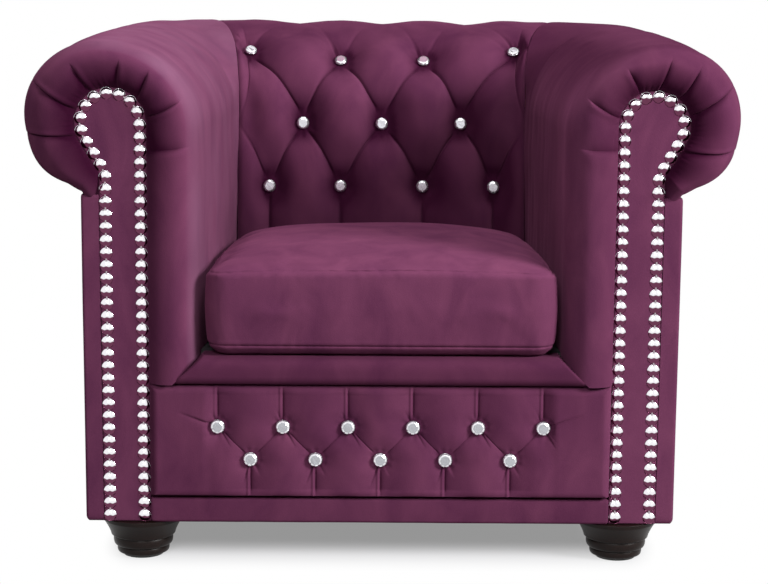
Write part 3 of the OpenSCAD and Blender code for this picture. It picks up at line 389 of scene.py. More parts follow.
def upholstered_arm(side, pleats, seed):
    """One arm. A pleat is its t at the facing, its t at its far end, how far it reaches and how deep."""
    # stations: the front ring, the straight roll, the rear corner and the sewn-in end
    ring = [(-90.0, facing_t, 0.0, 0.0, 0.0)] + [(roll, 0.0, 0.0, 0.0, 0.0) for roll in np.concatenate(
        [np.linspace(-90, 0, 26)[:-1], np.linspace(0, 90, 38)[:-1]])]
    skin = [(90.0, 0.0, y, 0.0, 0.0) for y in np.linspace(arm_straight_y, corner_y, 100)]
    skin += [(90.0, 0.0, corner_y, turn, 0.0) for turn in np.linspace(0, 86, 40)[1:]]
    skin += [(90.0, 0.0, corner_y, lerp(86, 90, f), f * f) for f in (0.25, 0.5, 0.75, 1.0)]
    skin += [(90.0, 0.0, corner_y, 90.0, 1.4), (90.0, 0.0, corner_y, 90.0, 2.0)]
    rows = np.array(ring + skin)
    roll, extra, y, turn, tuck = [column[:, None] for column in rows.T]
    # columns crowd in at each pleat and follow it, so that its fold stays crisp
    near = np.array([0.0] + [pleat[0] for pleat in pleats] + [4.0])
    far = np.array([0.0] + [pleat[1] for pleat in pleats] + [4.0])
    base = (near + far) / 2
    close = np.array([0, 0.004, 0.009, 0.017, 0.03, 0.05])
    t = np.unique(np.round(np.concatenate(
        [np.linspace(0, 0.8, 34), np.linspace(0.8, 3.62, 160), np.linspace(3.62, 4, 14)]
        + [b + s * close for b in base[1:-1] for s in (-1, 1)]), 3))
    front = roll < 90
    out = ring_share(roll)
    bend = 0.010 * np.sin(out * 5 + seed) * out
    t = np.array([t + np.interp(t, base, lerp(near, far, o) - base) for o in out[:, 0]])
    behind = np.where(front, 0, np.clip(y - arm_straight_y, 0, None) + turn * 3)
    # each pleat is a fold: one lip lies over a narrow valley, deepest where it leaves the facing
    dent = np.zeros(t.shape)
    for near_t, far_t, reach, deep in pleats:
        fade = deep * eased((reach - out - behind / 90) / (0.4 * reach) + 0.12)
        d = (t - lerp(near_t, far_t, out)) * lerp(84, 172, out)
        dent = dent + fade * (5.0 * fold_at(d, 3.4, 0.8) - 1.5 * hump(d + 4.5, 4.0) + 1.8 * hump(d, 12))
    # a cloth seam that runs over the crest, and small gathers right behind the facing's edge
    seam = (t - 1.935 - bend) * 160
    dent = dent + 0.6 * hump(seam, 1.5) * share_of((out - 0.5) / 0.2) * np.exp(-behind / 120)
    gathers = (0.5 * np.sin(t * 74) + 0.35 * np.sin(t * 133 + 1)) * hump(roll + 70, 30) * (t > 0.85)
    flat = arm_skin(np.where(front, arm_straight_y, y), turn, t, 0.0)
    # slow unevenness of the stuffing, and soft drag lines towards the rear corner
    lumps = soft_noise(flat, 75.0, seed, (1.0, 0.6, 0.8)) * 1.6
    drag = soft_noise(flat, 42.0, seed + 9, (1.0, 0.3, 0.8)) * 1.3 * share_of(behind / 250) \
        * share_of((3.2 - t) / 0.6)
    lumps = np.where(front, lumps * (0.3 + 0.7 * out), lumps) + drag
    # upright drag folds where the inner face is pulled in to the back
    lumps = lumps + soft_noise(flat, 30.0, seed + 3, (0.3, 1.0, 0.22)) * 2.2 \
        * share_of((behind - 120) / 160) * share_of((1.6 - t) / 0.5)
    # the roll swells slowly behind its rounded front, so that the light fades along it
    swell = 3.5 * hump(behind, 95) * np.sin(np.pi / 2 * share_of((out - 0.5) / 0.5)) ** 2
    low_in = tuck * share_of((t - 1) / 0.5)
    inset = np.maximum(dent + gathers - lumps * share_of(1 - tuck) + 1.4 + swell, 0.0) \
        * share_of((4 - t) / 0.16)
    # the stuffing sags, so that the roll is fuller underneath
    inset = inset - 5.0 * np.sin(np.pi * share_of((t - 3.1) / 0.85)) ** 2 * share_of(1 - tuck)
    grid = np.where(front[..., None], arm_front(roll, extra, t, inset),
                    arm_skin(np.maximum(y, arm_straight_y), turn, t, inset + 2.5 * low_in))
    # the sewn end: it runs in behind the back on the inside, and lies against it on the roll
    grid[..., 1] += 3.0 * (tuck - low_in)
    grid[..., 0] -= np.where(tuck > 0.9, 1.0, 0.0) * share_of((t - 1) / 0.5)
    grid[..., 2] += 5.0 * share_of((t - 3.6) / 0.4) ** 2 * share_of(1.4 - out) * front
    grid = grid + np.array([0, front_y, 0])
    grid[..., 0] *= side
    heart = [(side * (arm_roll_x - 20), front_y + d, 470.0) for d in range(110, 700, 60)]
    # painted shade in the recess round the facing and in the pleats' folds
    recess_shade = share_of(1 - out / 0.8) ** 0.8 * np.clip(0.55 + (t - 0.6) * 0.9, 0.5, 1) * front
    fold_shade = 0.09 * np.clip(dent - 1, 0, 4)
    # painted light from the right: the right arm's inner side and crest behind its rounded front get
    # painted shade, with less shade in the recess of that front, and the left arm's inner side and inner
    # ridge get a slight painted highlight
    roll_ramp = share_of((out - 0.6) / 0.4) ** 2
    further_back = lerp(0.25 + 0.75 * share_of(behind / 110), 1.0, share_of((t - 1.2) / 0.5))
    if side > 0:
        recess_shade = recess_shade * lerp(0.45, 1, share_of((t - 1.0) / 0.6))
        painted_side_light = np.interp(t, [0, 1.2, 1.8, 2.2, 2.7], [0.6, 0.6, 0.75, 0.6, 0.0]) * roll_ramp * further_back
        painted_side_light = np.maximum(painted_side_light, 0.32 * share_of((t - 1.5) / 0.3) * share_of((3.0 - t) / 0.4))
        painted_shade_and_highlight = np.maximum(np.clip(0.95 * recess_shade + fold_shade, 0, 0.9), painted_side_light)
    else:
        painted_side_light = np.interp(t, [0, 1.5, 1.95, 2.35, 2.8], [0.2, 0.2, 0.26, 0.08, -0.08]) * roll_ramp
        painted_side_light = painted_side_light + 0.2 * hump(out - 0.92, 0.14) * hump(behind, 40) * share_of((2.2 - t) / 0.6)
        painted_side_light = painted_side_light * (1 + 0.6 * soft_noise(flat, 55.0, 41.0, (1, 1, 0.5)))
        painted_shade_and_highlight = np.clip(0.95 * recess_shade + fold_shade, 0, 0.9) - painted_side_light
    name = "left_arm" if side < 0 else "right_arm"
    arm = closed_sheet(name + "_upholstery", grid, heart, None, 62, painted_shade_and_highlight)
    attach(arm, "chair")
    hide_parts(name + "_cover", name + "_foam")


upholstered_arm(-1, [(0.897, 0.936, 0.85, 0.9), (1.116, 1.27, 0.85, 1.0), (1.48, 1.626, 0.72, 1.1),
                     (1.856, 1.824, 0.62, 1.0), (2.33, 2.29, 0.64, 1.0), (2.76, 2.673, 1.0, 1.0),
                     (3.255, 3.16, 1.05, 0.9)], 3.0)
upholstered_arm(1, [(0.91, 0.94, 0.75, 0.8), (1.16, 1.32, 0.8, 0.9), (1.70, 1.66, 0.66, 1.0),
                    (2.04, 2.05, 0.72, 0.9), (2.43, 2.32, 0.75, 1.0), (2.79, 2.69, 1.0, 1.0),
                    (3.5, 3.29, 1.05, 0.9)], 17.0)

# Facings. A plywood scroll wrapped in velvet over thin wadding, nailed on last to hide the pleats'
# staples. The velvet turns round its edge, so the edge is soft and a little proud.
base_z = 62.0


def tube_faces(rings, count):
    """Faces of a stack of closed rings, with one over each end."""
    faces = [(i * count + k, i * count + (k + 1) % count, (i + 1) * count + (k + 1) % count,
              (i + 1) * count + k) for i in range(rings - 1) for k in range(count)]
    return faces + [tuple(range(count)), tuple((rings - 1) * count + k for k in range(count))]


def wrapped_board(name, outline, depth, rim):
    """A board in velvet: an outline in X and Z with a rounded front edge, flat behind."""
    outline = np.asarray(outline)
    after = np.roll(outline, -1, axis=0)
    ahead = after - outline
    back = outline - np.roll(outline, 1, axis=0)
    ahead /= np.linalg.norm(ahead, axis=1)[:, None]
    back /= np.linalg.norm(back, axis=1)[:, None]
    inward = np.stack([-(ahead + back)[:, 1], (ahead + back)[:, 0]], axis=1)
    inward /= np.linalg.norm(inward, axis=1)[:, None]
    area = 0.5 * np.sum(outline[:, 0] * after[:, 1] - after[:, 0] * outline[:, 1])
    inward *= 1 if area > 0 else -1
    rings = [(0.6, depth), (0.0, depth - 0.6)]
    rings += [(rim * (1 - math.cos(a)), rim * (1 - math.sin(a))) for a in np.linspace(0, math.pi / 2, 6)]
    rings += [(rim + 3.0, 0.0)]
    points = []
    for inset, y in rings:
        for p, n in zip(outline, inward):
            q = p + n * inset
            points.append((q[0], front_y + facing_y + max(y, 0), q[1]))
    return mesh_piece(name, points, tube_faces(len(rings), len(outline)), velvet, 40)


for side, name in ((-1, "left_arm"), (1, "right_arm")):
    x, z = facing_edge(np.concatenate([np.linspace(0, 1, 40)[:-1], np.linspace(1, 3, 70)[:-1],
                                       np.linspace(3, 4, 24)]))
    low = np.linspace(neck_z, base_z, 46)[1:]
    outline = [(facing_inner_x, base_z + 0.01)] + list(zip(x, z)) + [(facing_outer_x, v) for v in low]
    outline = [(side * a, b) for a, b in outline]
    facing = wrapped_board(name + "_facing_wrap", outline, facing_t, 3.2)
    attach(facing, "chair")
    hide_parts(name + "_facing")

# Nail heads. Domed decorative nails of chromed steel, pressed and polished, on a thin chromed
# strip that shows as small bright links between them. Each sits a little differently.
chrome, tree = new_material("chromed_steel")
where = add(tree, "TexCoord")
# faint dents and polishing marks, 3 mm apart
marks = add(tree, "TexNoise", {"Scale": 330.0, "Detail": 1.0}, {"Vector": where.outputs["Object"]})
haze = add(tree, "MapRange", {"To Min": 0.06, "To Max": 0.16}, {"Value": marks})
dents = add(tree, "Bump", {"Strength": 0.12, "Distance": 0.0004}, {"Height": marks})
# painted reflection: each head's lower side and shoulders are coloured smoked plum, standing in for the
# dark cloth and room that chrome would mirror there, with a wavy edge across the middle
over = add(tree, "Attribute", {"attribute_name": "across"})
high = add(tree, "Attribute", {"attribute_name": "upward"})
wave = add(tree, "Math", {"operation": "MULTIPLY", 1: 7.0}, {0: over.outputs["Fac"]})
wave = add(tree, "Math", {"operation": "COSINE"}, {0: wave})
edge = add(tree, "Math", {"operation": "MULTIPLY_ADD", 1: -0.06}, {0: wave, 2: high.outputs["Fac"]})
upper = add(tree, "MapRange", {"From Min": -0.05, "From Max": 0.07}, {"Value": edge})
wide = add(tree, "Math", {"operation": "ABSOLUTE"}, {0: over.outputs["Fac"]})
tall = add(tree, "Math", {"operation": "MULTIPLY"}, {0: high.outputs["Fac"], 1: high.outputs["Fac"]})
reach = add(tree, "Math", {"operation": "MULTIPLY_ADD", 1: 0.6}, {0: tall, 2: wide})
inner = add(tree, "MapRange", {"From Min": 1.12, "From Max": 1.0}, {"Value": reach})
mirror_white = add(tree, "Math", {"operation": "MULTIPLY"}, {0: upper, 1: inner})
painted_reflection = add(tree, "Mix", {"data_type": "RGBA", "A": "#6B3A52", "B": "#F4F2F6"},
           {"Factor": mirror_white})
plate = add(tree, "BsdfPrincipled", {"Metallic": 1.0},
            {"Base Color": painted_reflection, "Roughness": haze, "Normal": dents})
surface(tree, plate)

nail_d, nail_pitch, nail_margin = 16.6, 18.4, 9.5
nail_low = base_z + nail_margin
nail_r = scroll_r - nail_margin
nail_in, nail_out = facing_inner_x + nail_margin, facing_outer_x - nail_margin
nail_over = scroll_x + nail_r * math.cos(leave) - nail_out
nail_neck = scroll_z - nail_r * math.sin(leave) - nail_over / math.tan(leave)
nail_slant = nail_over / math.sin(leave)
nail_rise, nail_arc = scroll_z - nail_low, nail_r * math.radians(210)
nail_run = nail_rise + nail_arc + nail_slant + nail_neck - nail_low
nail_count = math.floor(nail_run / nail_pitch) + 1


def nail_at(d):
    """The place in X and Z at a distance along the line of nails."""
    if d <= nail_rise:
        return nail_in, nail_low + d
    if d <= nail_rise + nail_arc:
        a = math.pi - (d - nail_rise) / nail_r
        return scroll_x + nail_r * math.cos(a), scroll_z + nail_r * math.sin(a)
    if d <= nail_rise + nail_arc + nail_slant:
        f = (d - nail_rise - nail_arc) / nail_slant
        return lerp(scroll_x + nail_r * math.cos(leave), nail_out, f), \
            lerp(scroll_z - nail_r * math.sin(leave), nail_neck, f)
    return nail_out, nail_neck - (d - nail_rise - nail_arc - nail_slant)


def lathe(profile, around, centre, forward=False, spin=0.0):
    """Turns (radius, height) points about Z, or about -Y, and closes both ends."""
    points = []
    for r, h in profile:
        for k in range(around):
            a = 2 * math.pi * k / around + spin
            x, y = r * math.cos(a), r * math.sin(a)
            points.append((centre[0] + x, centre[1] - h, centre[2] + y) if forward
                          else (centre[0] + x, centre[1] + y, centre[2] + h))
    return points, tube_faces(len(profile), around)


def joined(name, parts, material, sharp=None, marks={}):
    """One object from several closed bodies."""
    points, faces = [], []
    for some_points, some_faces in parts:
        start = len(points)
        points += [tuple(p) for p in some_points]
        faces += [tuple(k + start for k in face) for face in some_faces]
    return mesh_piece(name, points, faces, material, sharp, marks)


draw = random.Random(5)
for side, name in ((-1, "left_arm"), (1, "right_arm")):
    heads, links, across, upward = [], [], [], []
    step = nail_run / (nail_count - 1)
    y0 = front_y + facing_y
    for k in range(nail_count):
        x, z = nail_at(k * step)
        # a dome that is part of a ball of radius big
        r, h = nail_d / 2 + 0.7, nail_d * 0.22
        big = (r * r + h * h) / (2 * h)
        profile = [(r * 0.95, 0.05), (r, 0.4)]
        for a in np.linspace(0.1, 1, 7):
            rad = r * math.cos(a * math.pi / 2)
            profile.append((max(rad, 0.4), h - big + math.sqrt(big * big - rad * rad)))
        heads.append(lathe(profile, 24, (side * x, y0, z), True, draw.uniform(0, 1)))
        lean = draw.uniform(-0.06, 0.06)
        across += [(p[0] - side * x) / r for p in heads[-1][0]]
        upward += [(p[2] - z) / r + lean for p in heads[-1][0]]
    for k in range(nail_count - 1):
        start, middle, end = (np.array(nail_at((k + f) * step)) for f in (0, 0.5, 1))
        along = (end - start) / np.linalg.norm(end - start)
        sideways = np.array([-along[1], along[0]])
        bar = []
        for a, b, y in ((-2.6, -1.7, 0.1), (2.6, -1.7, 0.1), (2.6, 1.7, 0.1), (-2.6, 1.7, 0.1),
                        (-2.4, -1.0, 1.5), (2.4, -1.0, 1.5), (2.4, 1.0, 1.5), (-2.4, 1.0, 1.5)):
            p = middle + along * a + sideways * b
            bar.append((side * p[0], y0 - y, p[1]))
        links.append((bar, [(0, 1, 2, 3), (4, 5, 6, 7), (0, 1, 5, 4), (1, 2, 6, 5), (2, 3, 7, 6),
                            (3, 0, 4, 7)]))
        across += [0.0] * 8
        upward += [0.06] * 8
    strip = joined(name + "_nail_strip", heads + links, chrome, 50, {"across": across, "upward": upward})
    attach(strip, "chair")
    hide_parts(name + "_nails")

# Outside arms and outside back. Velvet stretched flat over board, tacked under the roll and
# folded round the bottom edge; only the far side's return shows from the front.
panel_t = 5.0
panel_top_z = roll_z - arm_roll_r * math.sin(under_angle) - gap
panel_r = outside_x - back_crest_x


def shell(name, outer, inner, material, sharp=35):
    """A closed skin between two grids of the same size."""
    rows, cols = outer.shape[:2]
    count = rows * cols
    faces = grid_faces(rows, cols) + grid_faces(rows, cols, count)
    rim = rim_of(rows, cols)
    faces += [(p, q, q + count, p + count) for p, q in zip(rim, rim[1:] + rim[:1])]
    return mesh_piece(name, np.vstack([outer.reshape(-1, 3), inner.reshape(-1, 3)]), faces, material, sharp)


def stretched_panel(name, path, normals, seed, side=1):
    """A wrapped board along a path in plan: rounded at its top and bottom edges, flat elsewhere."""
    levels = np.array([0, 0.6, 2, 4, 7] + list(np.linspace(14, panel_top_z - base_z - 14, 34))
                      + [panel_top_z - base_z - k for k in (7, 4, 2, 0.6, 0)])
    path, normals = np.asarray(path), np.asarray(normals)
    turn_in = 4.0 * share_of(1 - levels / 8) ** 2.2 + share_of(1 - (levels[-1] - levels) / 4) ** 2
    flat = np.zeros((len(levels), len(path), 3))
    flat[..., 0] = path[None, :, 0]
    flat[..., 1] = path[None, :, 1]
    flat[..., 2] = base_z + levels[:, None]
    # faint tack marks every 28 mm under the roll and slow waves from the pull
    s = np.concatenate([[0], np.cumsum(np.linalg.norm(np.diff(path, axis=0), axis=1))])
    tacks = 0.35 * np.cos(2 * math.pi * s / 28)[None, :] * np.exp(-(levels[-1] - levels) / 16)[:, None]
    wave = np.abs(soft_noise(flat, 120.0, seed, (1, 1, 0.4))) * 0.9
    inset = np.maximum(turn_in[:, None] + tacks * 0.5 + wave, 0.0)
    outer, inner = flat.copy(), flat.copy()
    outer[..., :2] -= normals[None] * inset[..., None]
    inner[..., :2] -= normals[None] * (panel_t - 0.2)
    outer[..., 0] *= side
    inner[..., 0] *= side
    panel = shell(name, outer, inner, velvet)
    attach(panel, "chair")
    return panel


turn_r = 5.0
for side, name in ((-1, "left"), (1, "right")):
    path = [(v, facing_y) for v in np.linspace(facing_outer_x + gap, outside_x - turn_r, 10)]
    normals = [(0.0, -1.0)] * 10
    for a in np.linspace(-math.pi / 2, 0, 10)[1:]:
        path.append((outside_x - turn_r + turn_r * math.cos(a), facing_y + turn_r + turn_r * math.sin(a)))
        normals.append((math.cos(a), math.sin(a)))
    path += [(outside_x, v) for v in np.linspace(facing_y + turn_r, corner_y, 60)[1:]]
    normals += [(1.0, 0.0)] * 59
    for a in np.linspace(0, math.pi / 2, 26)[1:]:
        path.append((back_crest_x + panel_r * math.cos(a), corner_y + panel_r * math.sin(a)))
        normals.append((math.cos(a), math.sin(a)))
    path = np.array(path)
    path[:, 1] += front_y
    panel = stretched_panel(name + "_outside_velvet", path, normals, 31.0 + side, side)
    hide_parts(name + "_outside_panel")

rear_y = corner_y + panel_r
path = [(v, front_y + rear_y) for v in np.linspace(back_crest_x - gap, -back_crest_x + gap, 70)]
panel = stretched_panel("outside_back_velvet", path, [(0.0, 1.0)] * 70, 47.0)
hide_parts("outside_back_panel")

# Buttoned back. Velvet is pulled down at eleven crystal buttons and folded into diamond pleats
# between them over 60 mm foam; loose pleats run down to the seat and over the crest to the rear.
back_low_y, tuft_depth, diamond_w, seat_lift = 520.0, 38.0, 148.0, 12.0
row_places = ([-1.75, 0, 1, 2, 3, 4.26, 5.3], [0, 0.589, 0.917, 1.444, 1.93, 3, 4])
row_tufts = ([-1.75, -0.5, 0, 2, 2.25, 2.5, 2.8, 3, 3.4, 4, 5.3],
             [0.6, 1.0, 1, 0.95, 0.4, 0.08, 0.08, 0.3, 0.22, 0.12, 0])


def ridge(f):
    """The round of a pillow between two pleats: 0 at a pleat, 1 midway."""
    near = 1 - 2 * np.abs(f - np.round(f))
    return 0.6 * np.sqrt(np.maximum(0, 1 - near ** 2)) + 0.4 * np.cos(np.pi / 2 * near) ** 1.5


def quilt(a, b, rise):
    """1 at a button, 0 on a pillow, with pleats along whole values of a and b."""
    p = (1 - ridge(a)) * (1 - rise * np.sin(math.pi * b) ** 2)
    q = (1 - ridge(b)) * (1 - rise * np.sin(math.pi * a) ** 2)
    return 1 - (1 - p) * (1 - q)


def tuft(u, v, last, shift, rise, loose):
    """Quilt between the first and the last row, plain pleats below and above them."""
    half = (np.clip(v, 0, last) + shift) / 2
    mid = quilt(u + half, u - half, rise)
    under = loose * (1 - ridge(u + shift / 2))
    over = loose * (1 - ridge(u + (last + shift) / 2))
    return np.where(v < 0, lerp(mid, under, eased(-2 * v)),
                    np.where(v > last, lerp(mid, over, eased(2 * (v - last))), mid))


def creases(u, v, last, shift):
    """Says for every cell of the grid which way its pleat runs."""
    mid_u, half = (u[:, 1:] + u[:, :-1]) / 2, (np.clip((v[1:] + v[:-1]) / 2, 0, last) + shift) / 2
    a, b = mid_u + half, mid_u - half
    return np.abs(a - np.round(a)) < np.abs(b - np.round(b))


def stands_out(u):
    """How far a crystal's seat stands out from its tuft's bottom: further for the outer ones."""
    return 19.0 if abs(u) > 1 else 13.0


def back_edge_x(t):
    return np.where(t <= 1, arm_rear_x, lerp(arm_rear_x, back_crest_x, np.where(
        t <= 2, (1 - np.cos(np.pi / 2 * share_of(t - 1))) ** mitre_power, 1)))


def back_place(u, v, dent, tuck=0.0):
    """A point on the back, and how far its face points up. u counts diamonds from the middle and v
    rows of buttons from the lowest."""
    a, b = u + (v + 1) / 2, u - (v + 1) / 2
    fade = np.sin(np.minimum(np.pi / 2, np.pi * np.clip(v, 0, 3))) \
        * np.sin(np.minimum(np.pi / 2, np.pi * np.clip(3 - v, 0, 3)))
    ogive = 0.08 * (1 - (np.cos(np.pi * a) * np.cos(np.pi * b)) ** 2) * fade
    s = np.abs(u) / 2
    corner = hump(np.abs(u) - 1.5, 0.5) * hump(v - 2, 0.6) * (1 - s ** 8)
    t = np.interp(v + ogive + 0.18 * corner, *row_places)
    edge = back_edge_x(t) - gap
    pull = 0.25 * diamond_w * corner
    x = np.sign(u) * (np.abs(u) * diamond_w - (2 * diamond_w - edge) * s * s + pull)
    a = np.pi / 2 * share_of(t - 1)
    b = np.where(t <= 3, np.pi / 2 * share_of(t - 2), np.pi / 2 + under_angle * share_of(t - 3))
    high, wide = total_h - spring_z, back_roll_y - back_high_y
    norm = np.hypot(high * np.cos(a), wide * np.sin(a))
    centre_z = total_h - back_roll_r
    low = arm_roll_r + (centre_z - roll_z) / math.sin(under_angle)
    y = np.where(t <= 1, lerp(back_low_y, back_high_y, share_of(t)), np.where(
        t <= 2, lerp(back_roll_y, back_high_y, np.cos(a)), back_roll_y + back_roll_r * np.sin(b)))
    z = np.where(t <= 1, lerp(deck_z, spring_z, share_of(t)), np.where(
        t <= 2, spring_z + high * np.sin(a), centre_z + np.where(t <= 3, back_roll_r, low) * np.cos(b)))
    ny = np.where(t <= 1, -1, np.where(t <= 2, -high * np.cos(a) / norm, np.sin(b)))
    nz = np.where(t <= 1, 0, np.where(t <= 2, wide * np.sin(a) / norm, np.cos(b)))
    depth = dent + tuck
    return np.stack([x, front_y + y - ny * depth, z - nz * depth], axis=-1), nz


def along_and_off(dx, dz, angle):
    """Measures a place along a pull that runs out at an angle in degrees, and off to its side."""
    c, s = math.cos(math.radians(angle)), math.sin(math.radians(angle))
    return dx * c + dz * s, dz * c - dx * s


under_cup = 9.5
back_spots = [(u, 0) for u in (-1.5, -0.5, 0.5, 1.5)] + [(u, 1) for u in (-1, 0, 1)] \
    + [(u, 2) for u in (-1.5, -0.5, 0.5, 1.5)]
fine = 44
u = np.arange(-2 * fine, 2 * fine + 1)[None, :] / fine
v = np.concatenate([np.linspace(-1.75, 0, 40)[:-1], np.arange(0, 3 * fine // 2 + 1) * 2 / fine,
                    np.linspace(3, 5.3, 62)[1:]])[:, None]
calm = 1 - 0.75 * eased((np.abs(u) / 2 - 0.75) * 4)
share = np.interp(v, *row_tufts)
depth = (tuft_depth - seat_lift) * share
dent = depth * tuft(u, v, 3, 1, 0.36, 0.72) * calm
flat = back_place(u, v, 0.0)[0]
for bu, bv in back_spots:
    spot = back_place(bu, bv, 0.0)[0]
    away = np.linalg.norm(flat - spot, axis=-1)
    seat_depth = tuft_depth * np.interp(bv, *row_tufts) - stands_out(bu) + 0.6
    dent = lerp(dent, max(seat_depth, 0), eased(1 - (away - under_cup) / 13))
    # little puckers run out all round the button
    angle = np.arctan2(flat[..., 2] - spot[2], flat[..., 0] - spot[0])
    dent = dent + 0.9 * np.cos(angle * 11 + bu) * hump(away - 17, 8)
# short pinches above the upper row: each is an angle, a length and a depth
for bu, pinches in ((-1.5, ((128, 46, 1.0), (60, 20, 0.4))),
                    (-0.5, ((118, 44, 1.0), (66, 24, 0.7), (95, 18, 0.4))),
                    (0.5, ((122, 46, 1.0), (52, 24, 0.7), (12, 32, 0.5))),
                    (1.5, ((146, 48, 1.0), (95, 22, 0.4)))):
    spot = back_place(bu, 2.0, 0.0)[0]
    dx = flat[..., 0] - spot[0]
    dz = np.sqrt(np.maximum(np.linalg.norm(flat - spot, axis=-1) ** 2 - dx ** 2, 0)) * np.sign(v - 2)
    for angle, length, deep in pinches:
        along, off = along_and_off(dx, dz, angle)
        dent = dent + 7.0 * deep * fold_at(off, 5.0, 1.8) * share_of(1 - along / length) ** 1.2 \
            * share_of((along - 4) / 7)
dent = dent - soft_noise(flat, 60.0, 71.0) * 1.2 + 1.2 - soft_noise(flat, 22.0, 5.0, (1, 1, 0.5)) * 0.35
dent = np.maximum(dent, 0.0)
t = np.interp(v, *row_places)
tuck = lerp(3.5, 1.5, share_of((t - 1) / 0.5)) \
    * (1 - np.cos(np.pi / 2 * share_of((np.abs(u) - 1.92) / 0.08)))
grid = back_place(u, v, dent, tuck)[0]
grid[..., 0] += np.sign(u) * 1.8 * share_of((np.abs(u) - 1.9) / 0.1)
fold = tuft(u, v, 3, 1, 0.36, 0.72) * calm * share
# painted shade in the pleats, round the buttons, towards the seat, at the lower right and over the upper
# pillows
painted_shade_and_highlight = 0.7 * share_of((fold - 0.5) / 0.5) ** 1.5 + 0.08 + 0.42 * share_of(1.5 - t) \
    + 0.15 * share_of((1.8 - t) / 0.6) * share_of(u / 1.6)
for bu, bv in back_spots:
    painted_shade_and_highlight = painted_shade_and_highlight + 0.45 * hump(np.linalg.norm(flat - back_place(bu, bv, 0.0)[0], axis=-1), 24)
# painted shade on slopes that face left, away from the light from the right, and less of it on slopes that
# face right
slope = np.gradient(dent, axis=1) / np.gradient(flat[..., 0], axis=1)
painted_shade_and_highlight = painted_shade_and_highlight + 0.3 * share_of((t - 1.1) / 0.5) * share_of((2.6 - t) / 0.5)
painted_shade_and_highlight = np.clip(painted_shade_and_highlight - 0.45 * np.clip(slope, -0.7, 0.5), 0, 0.85)
heart = [(x, front_y + 690, z) for x in (-200, -100, 0, 100, 200) for z in (400, 500, 600, 660)]
back = closed_sheet("buttoned_back", grid, heart, creases(u, v, 3, 1), 75, painted_shade_and_highlight)
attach(back, "chair")
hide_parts("back_cover", "back_foam")

# Buttoned front. The same velvet over thin wadding on plywood: two rows of buttons, pleats in
# a zigzag between them and short upright pleats to the seams above and below.
front_pitch, front_row_z, front_row_gap = 95.5, 160.0, 49.0
panel_low_z, front_tuft, pillow_y, pad_rear_y = 100.0, 13.0, 8.0, 43.4
lowest_row, highest_row = -1.12, 2.29
front_spots = [(u, 0) for u in (-2, -1, 0, 1, 2)] + [(u + 0.5, 1) for u in (-3, -2, -1, 0, 1, 2)]


def front_place(u, v):
    x = u * front_pitch + np.sign(u) * (facing_inner_x - gap - 3.5 * front_pitch) * (np.abs(u) / 3.5) ** 8
    z = np.clip(front_row_z + front_row_gap * v, panel_low_z + gap, border_z - gap)
    return x, z


fine = 34
u = np.arange(-7 * fine, 7 * fine + 1)[None, :] / (2 * fine)
v = np.concatenate([np.linspace(lowest_row, 0, 40)[:-1], np.arange(0, fine + 1) / fine,
                    np.linspace(1, highest_row, 44)[1:]])[:, None]
x, z = front_place(u, v)
x, z = np.broadcast_arrays(x, z)
press_in = front_tuft - 6.0
ends = share_of((2.75 - np.abs(u)) / 0.25)
fade = share_of((highest_row - v) / 0.3) * share_of((v - lowest_row) / 0.2)
fold = tuft(u, v, 1, 0, 0.42, 0.85) * eased(ends) * (0.25 + 0.75 * fade)
dent = (press_in + 2.5) * fold
flat = np.stack([x, 0 * x, z], axis=-1)
for bu, bv in front_spots:
    bx, bz = front_place(bu, bv)
    away = np.hypot(x - bx, z - bz)
    dent = lerp(dent, press_in + 0.4, eased(1 - (away - under_cup) / 9))
    dent = dent + 0.3 * np.cos(np.arctan2(z - bz, x - bx) * 9 + 2 * bu) * hump(away - 15, 6)
# one pull runs out from the last upper button towards each end, short ones beside the pleats
pulls = [(-2.5, 1, 159, 62, -1.0), (2.5, 1, 21, 62, 1.0)]
for bu, bv in front_spots:
    if bv == 0:
        pulls += [(bu, bv, draw.uniform(242, 254), draw.uniform(34, 46), 0.9), (bu, bv, 300, 30, -0.5)]
    else:
        pulls += [(bu, bv, draw.uniform(108, 122), draw.uniform(22, 34), 0.6), (bu, bv, 302, 36, 0.7)]
for bu, bv, angle, length, deep in pulls:
    bx, bz = front_place(bu, bv)
    along, off = along_and_off(x - bx, z - bz, angle)
    dent = dent + 4.6 * abs(deep) * fold_at(off * (1 if deep < 0 else -1), 4.0, 0.9) \
        * share_of(1 - along / length) ** 0.8 * share_of((along - 5) / 5)
for shift, upright in ((0.0, share_of(-3 * v)), (0.5, share_of(3 * (v - 1)))):
    d = (u - shift - np.round(u - shift)) * front_pitch
    dent = dent - 1.5 * hump(d + 3.6, 1.5) * upright * ends
edge = np.minimum(np.minimum(facing_inner_x - gap - np.abs(x), border_z - gap - z), z - panel_low_z - gap)
round_off = 12.0 * (1 - np.sqrt(1 - (1 - share_of(edge / 13)) ** 2))
dent = dent * share_of(edge / 6) + round_off + 0.5 - soft_noise(flat, 45.0, 12.0) * 0.5
grid = np.stack([x, front_y + pillow_y + np.maximum(dent, 0), z], axis=-1)
rear = grid.copy()
rear[..., 1] = front_y + pad_rear_y
rows, cols = grid.shape[:2]
rim = rim_of(rows, cols)
points = np.vstack([grid.reshape(-1, 3), rear.reshape(-1, 3)[rim]])
first, count = rows * cols, len(rim)
faces = grid_faces(rows, cols, 0, creases(u, v, 1, 0))
faces += [(rim[k], rim[(k + 1) % count], first + (k + 1) % count, first + k) for k in range(count)]
faces.append(tuple(first + k for k in range(count)))
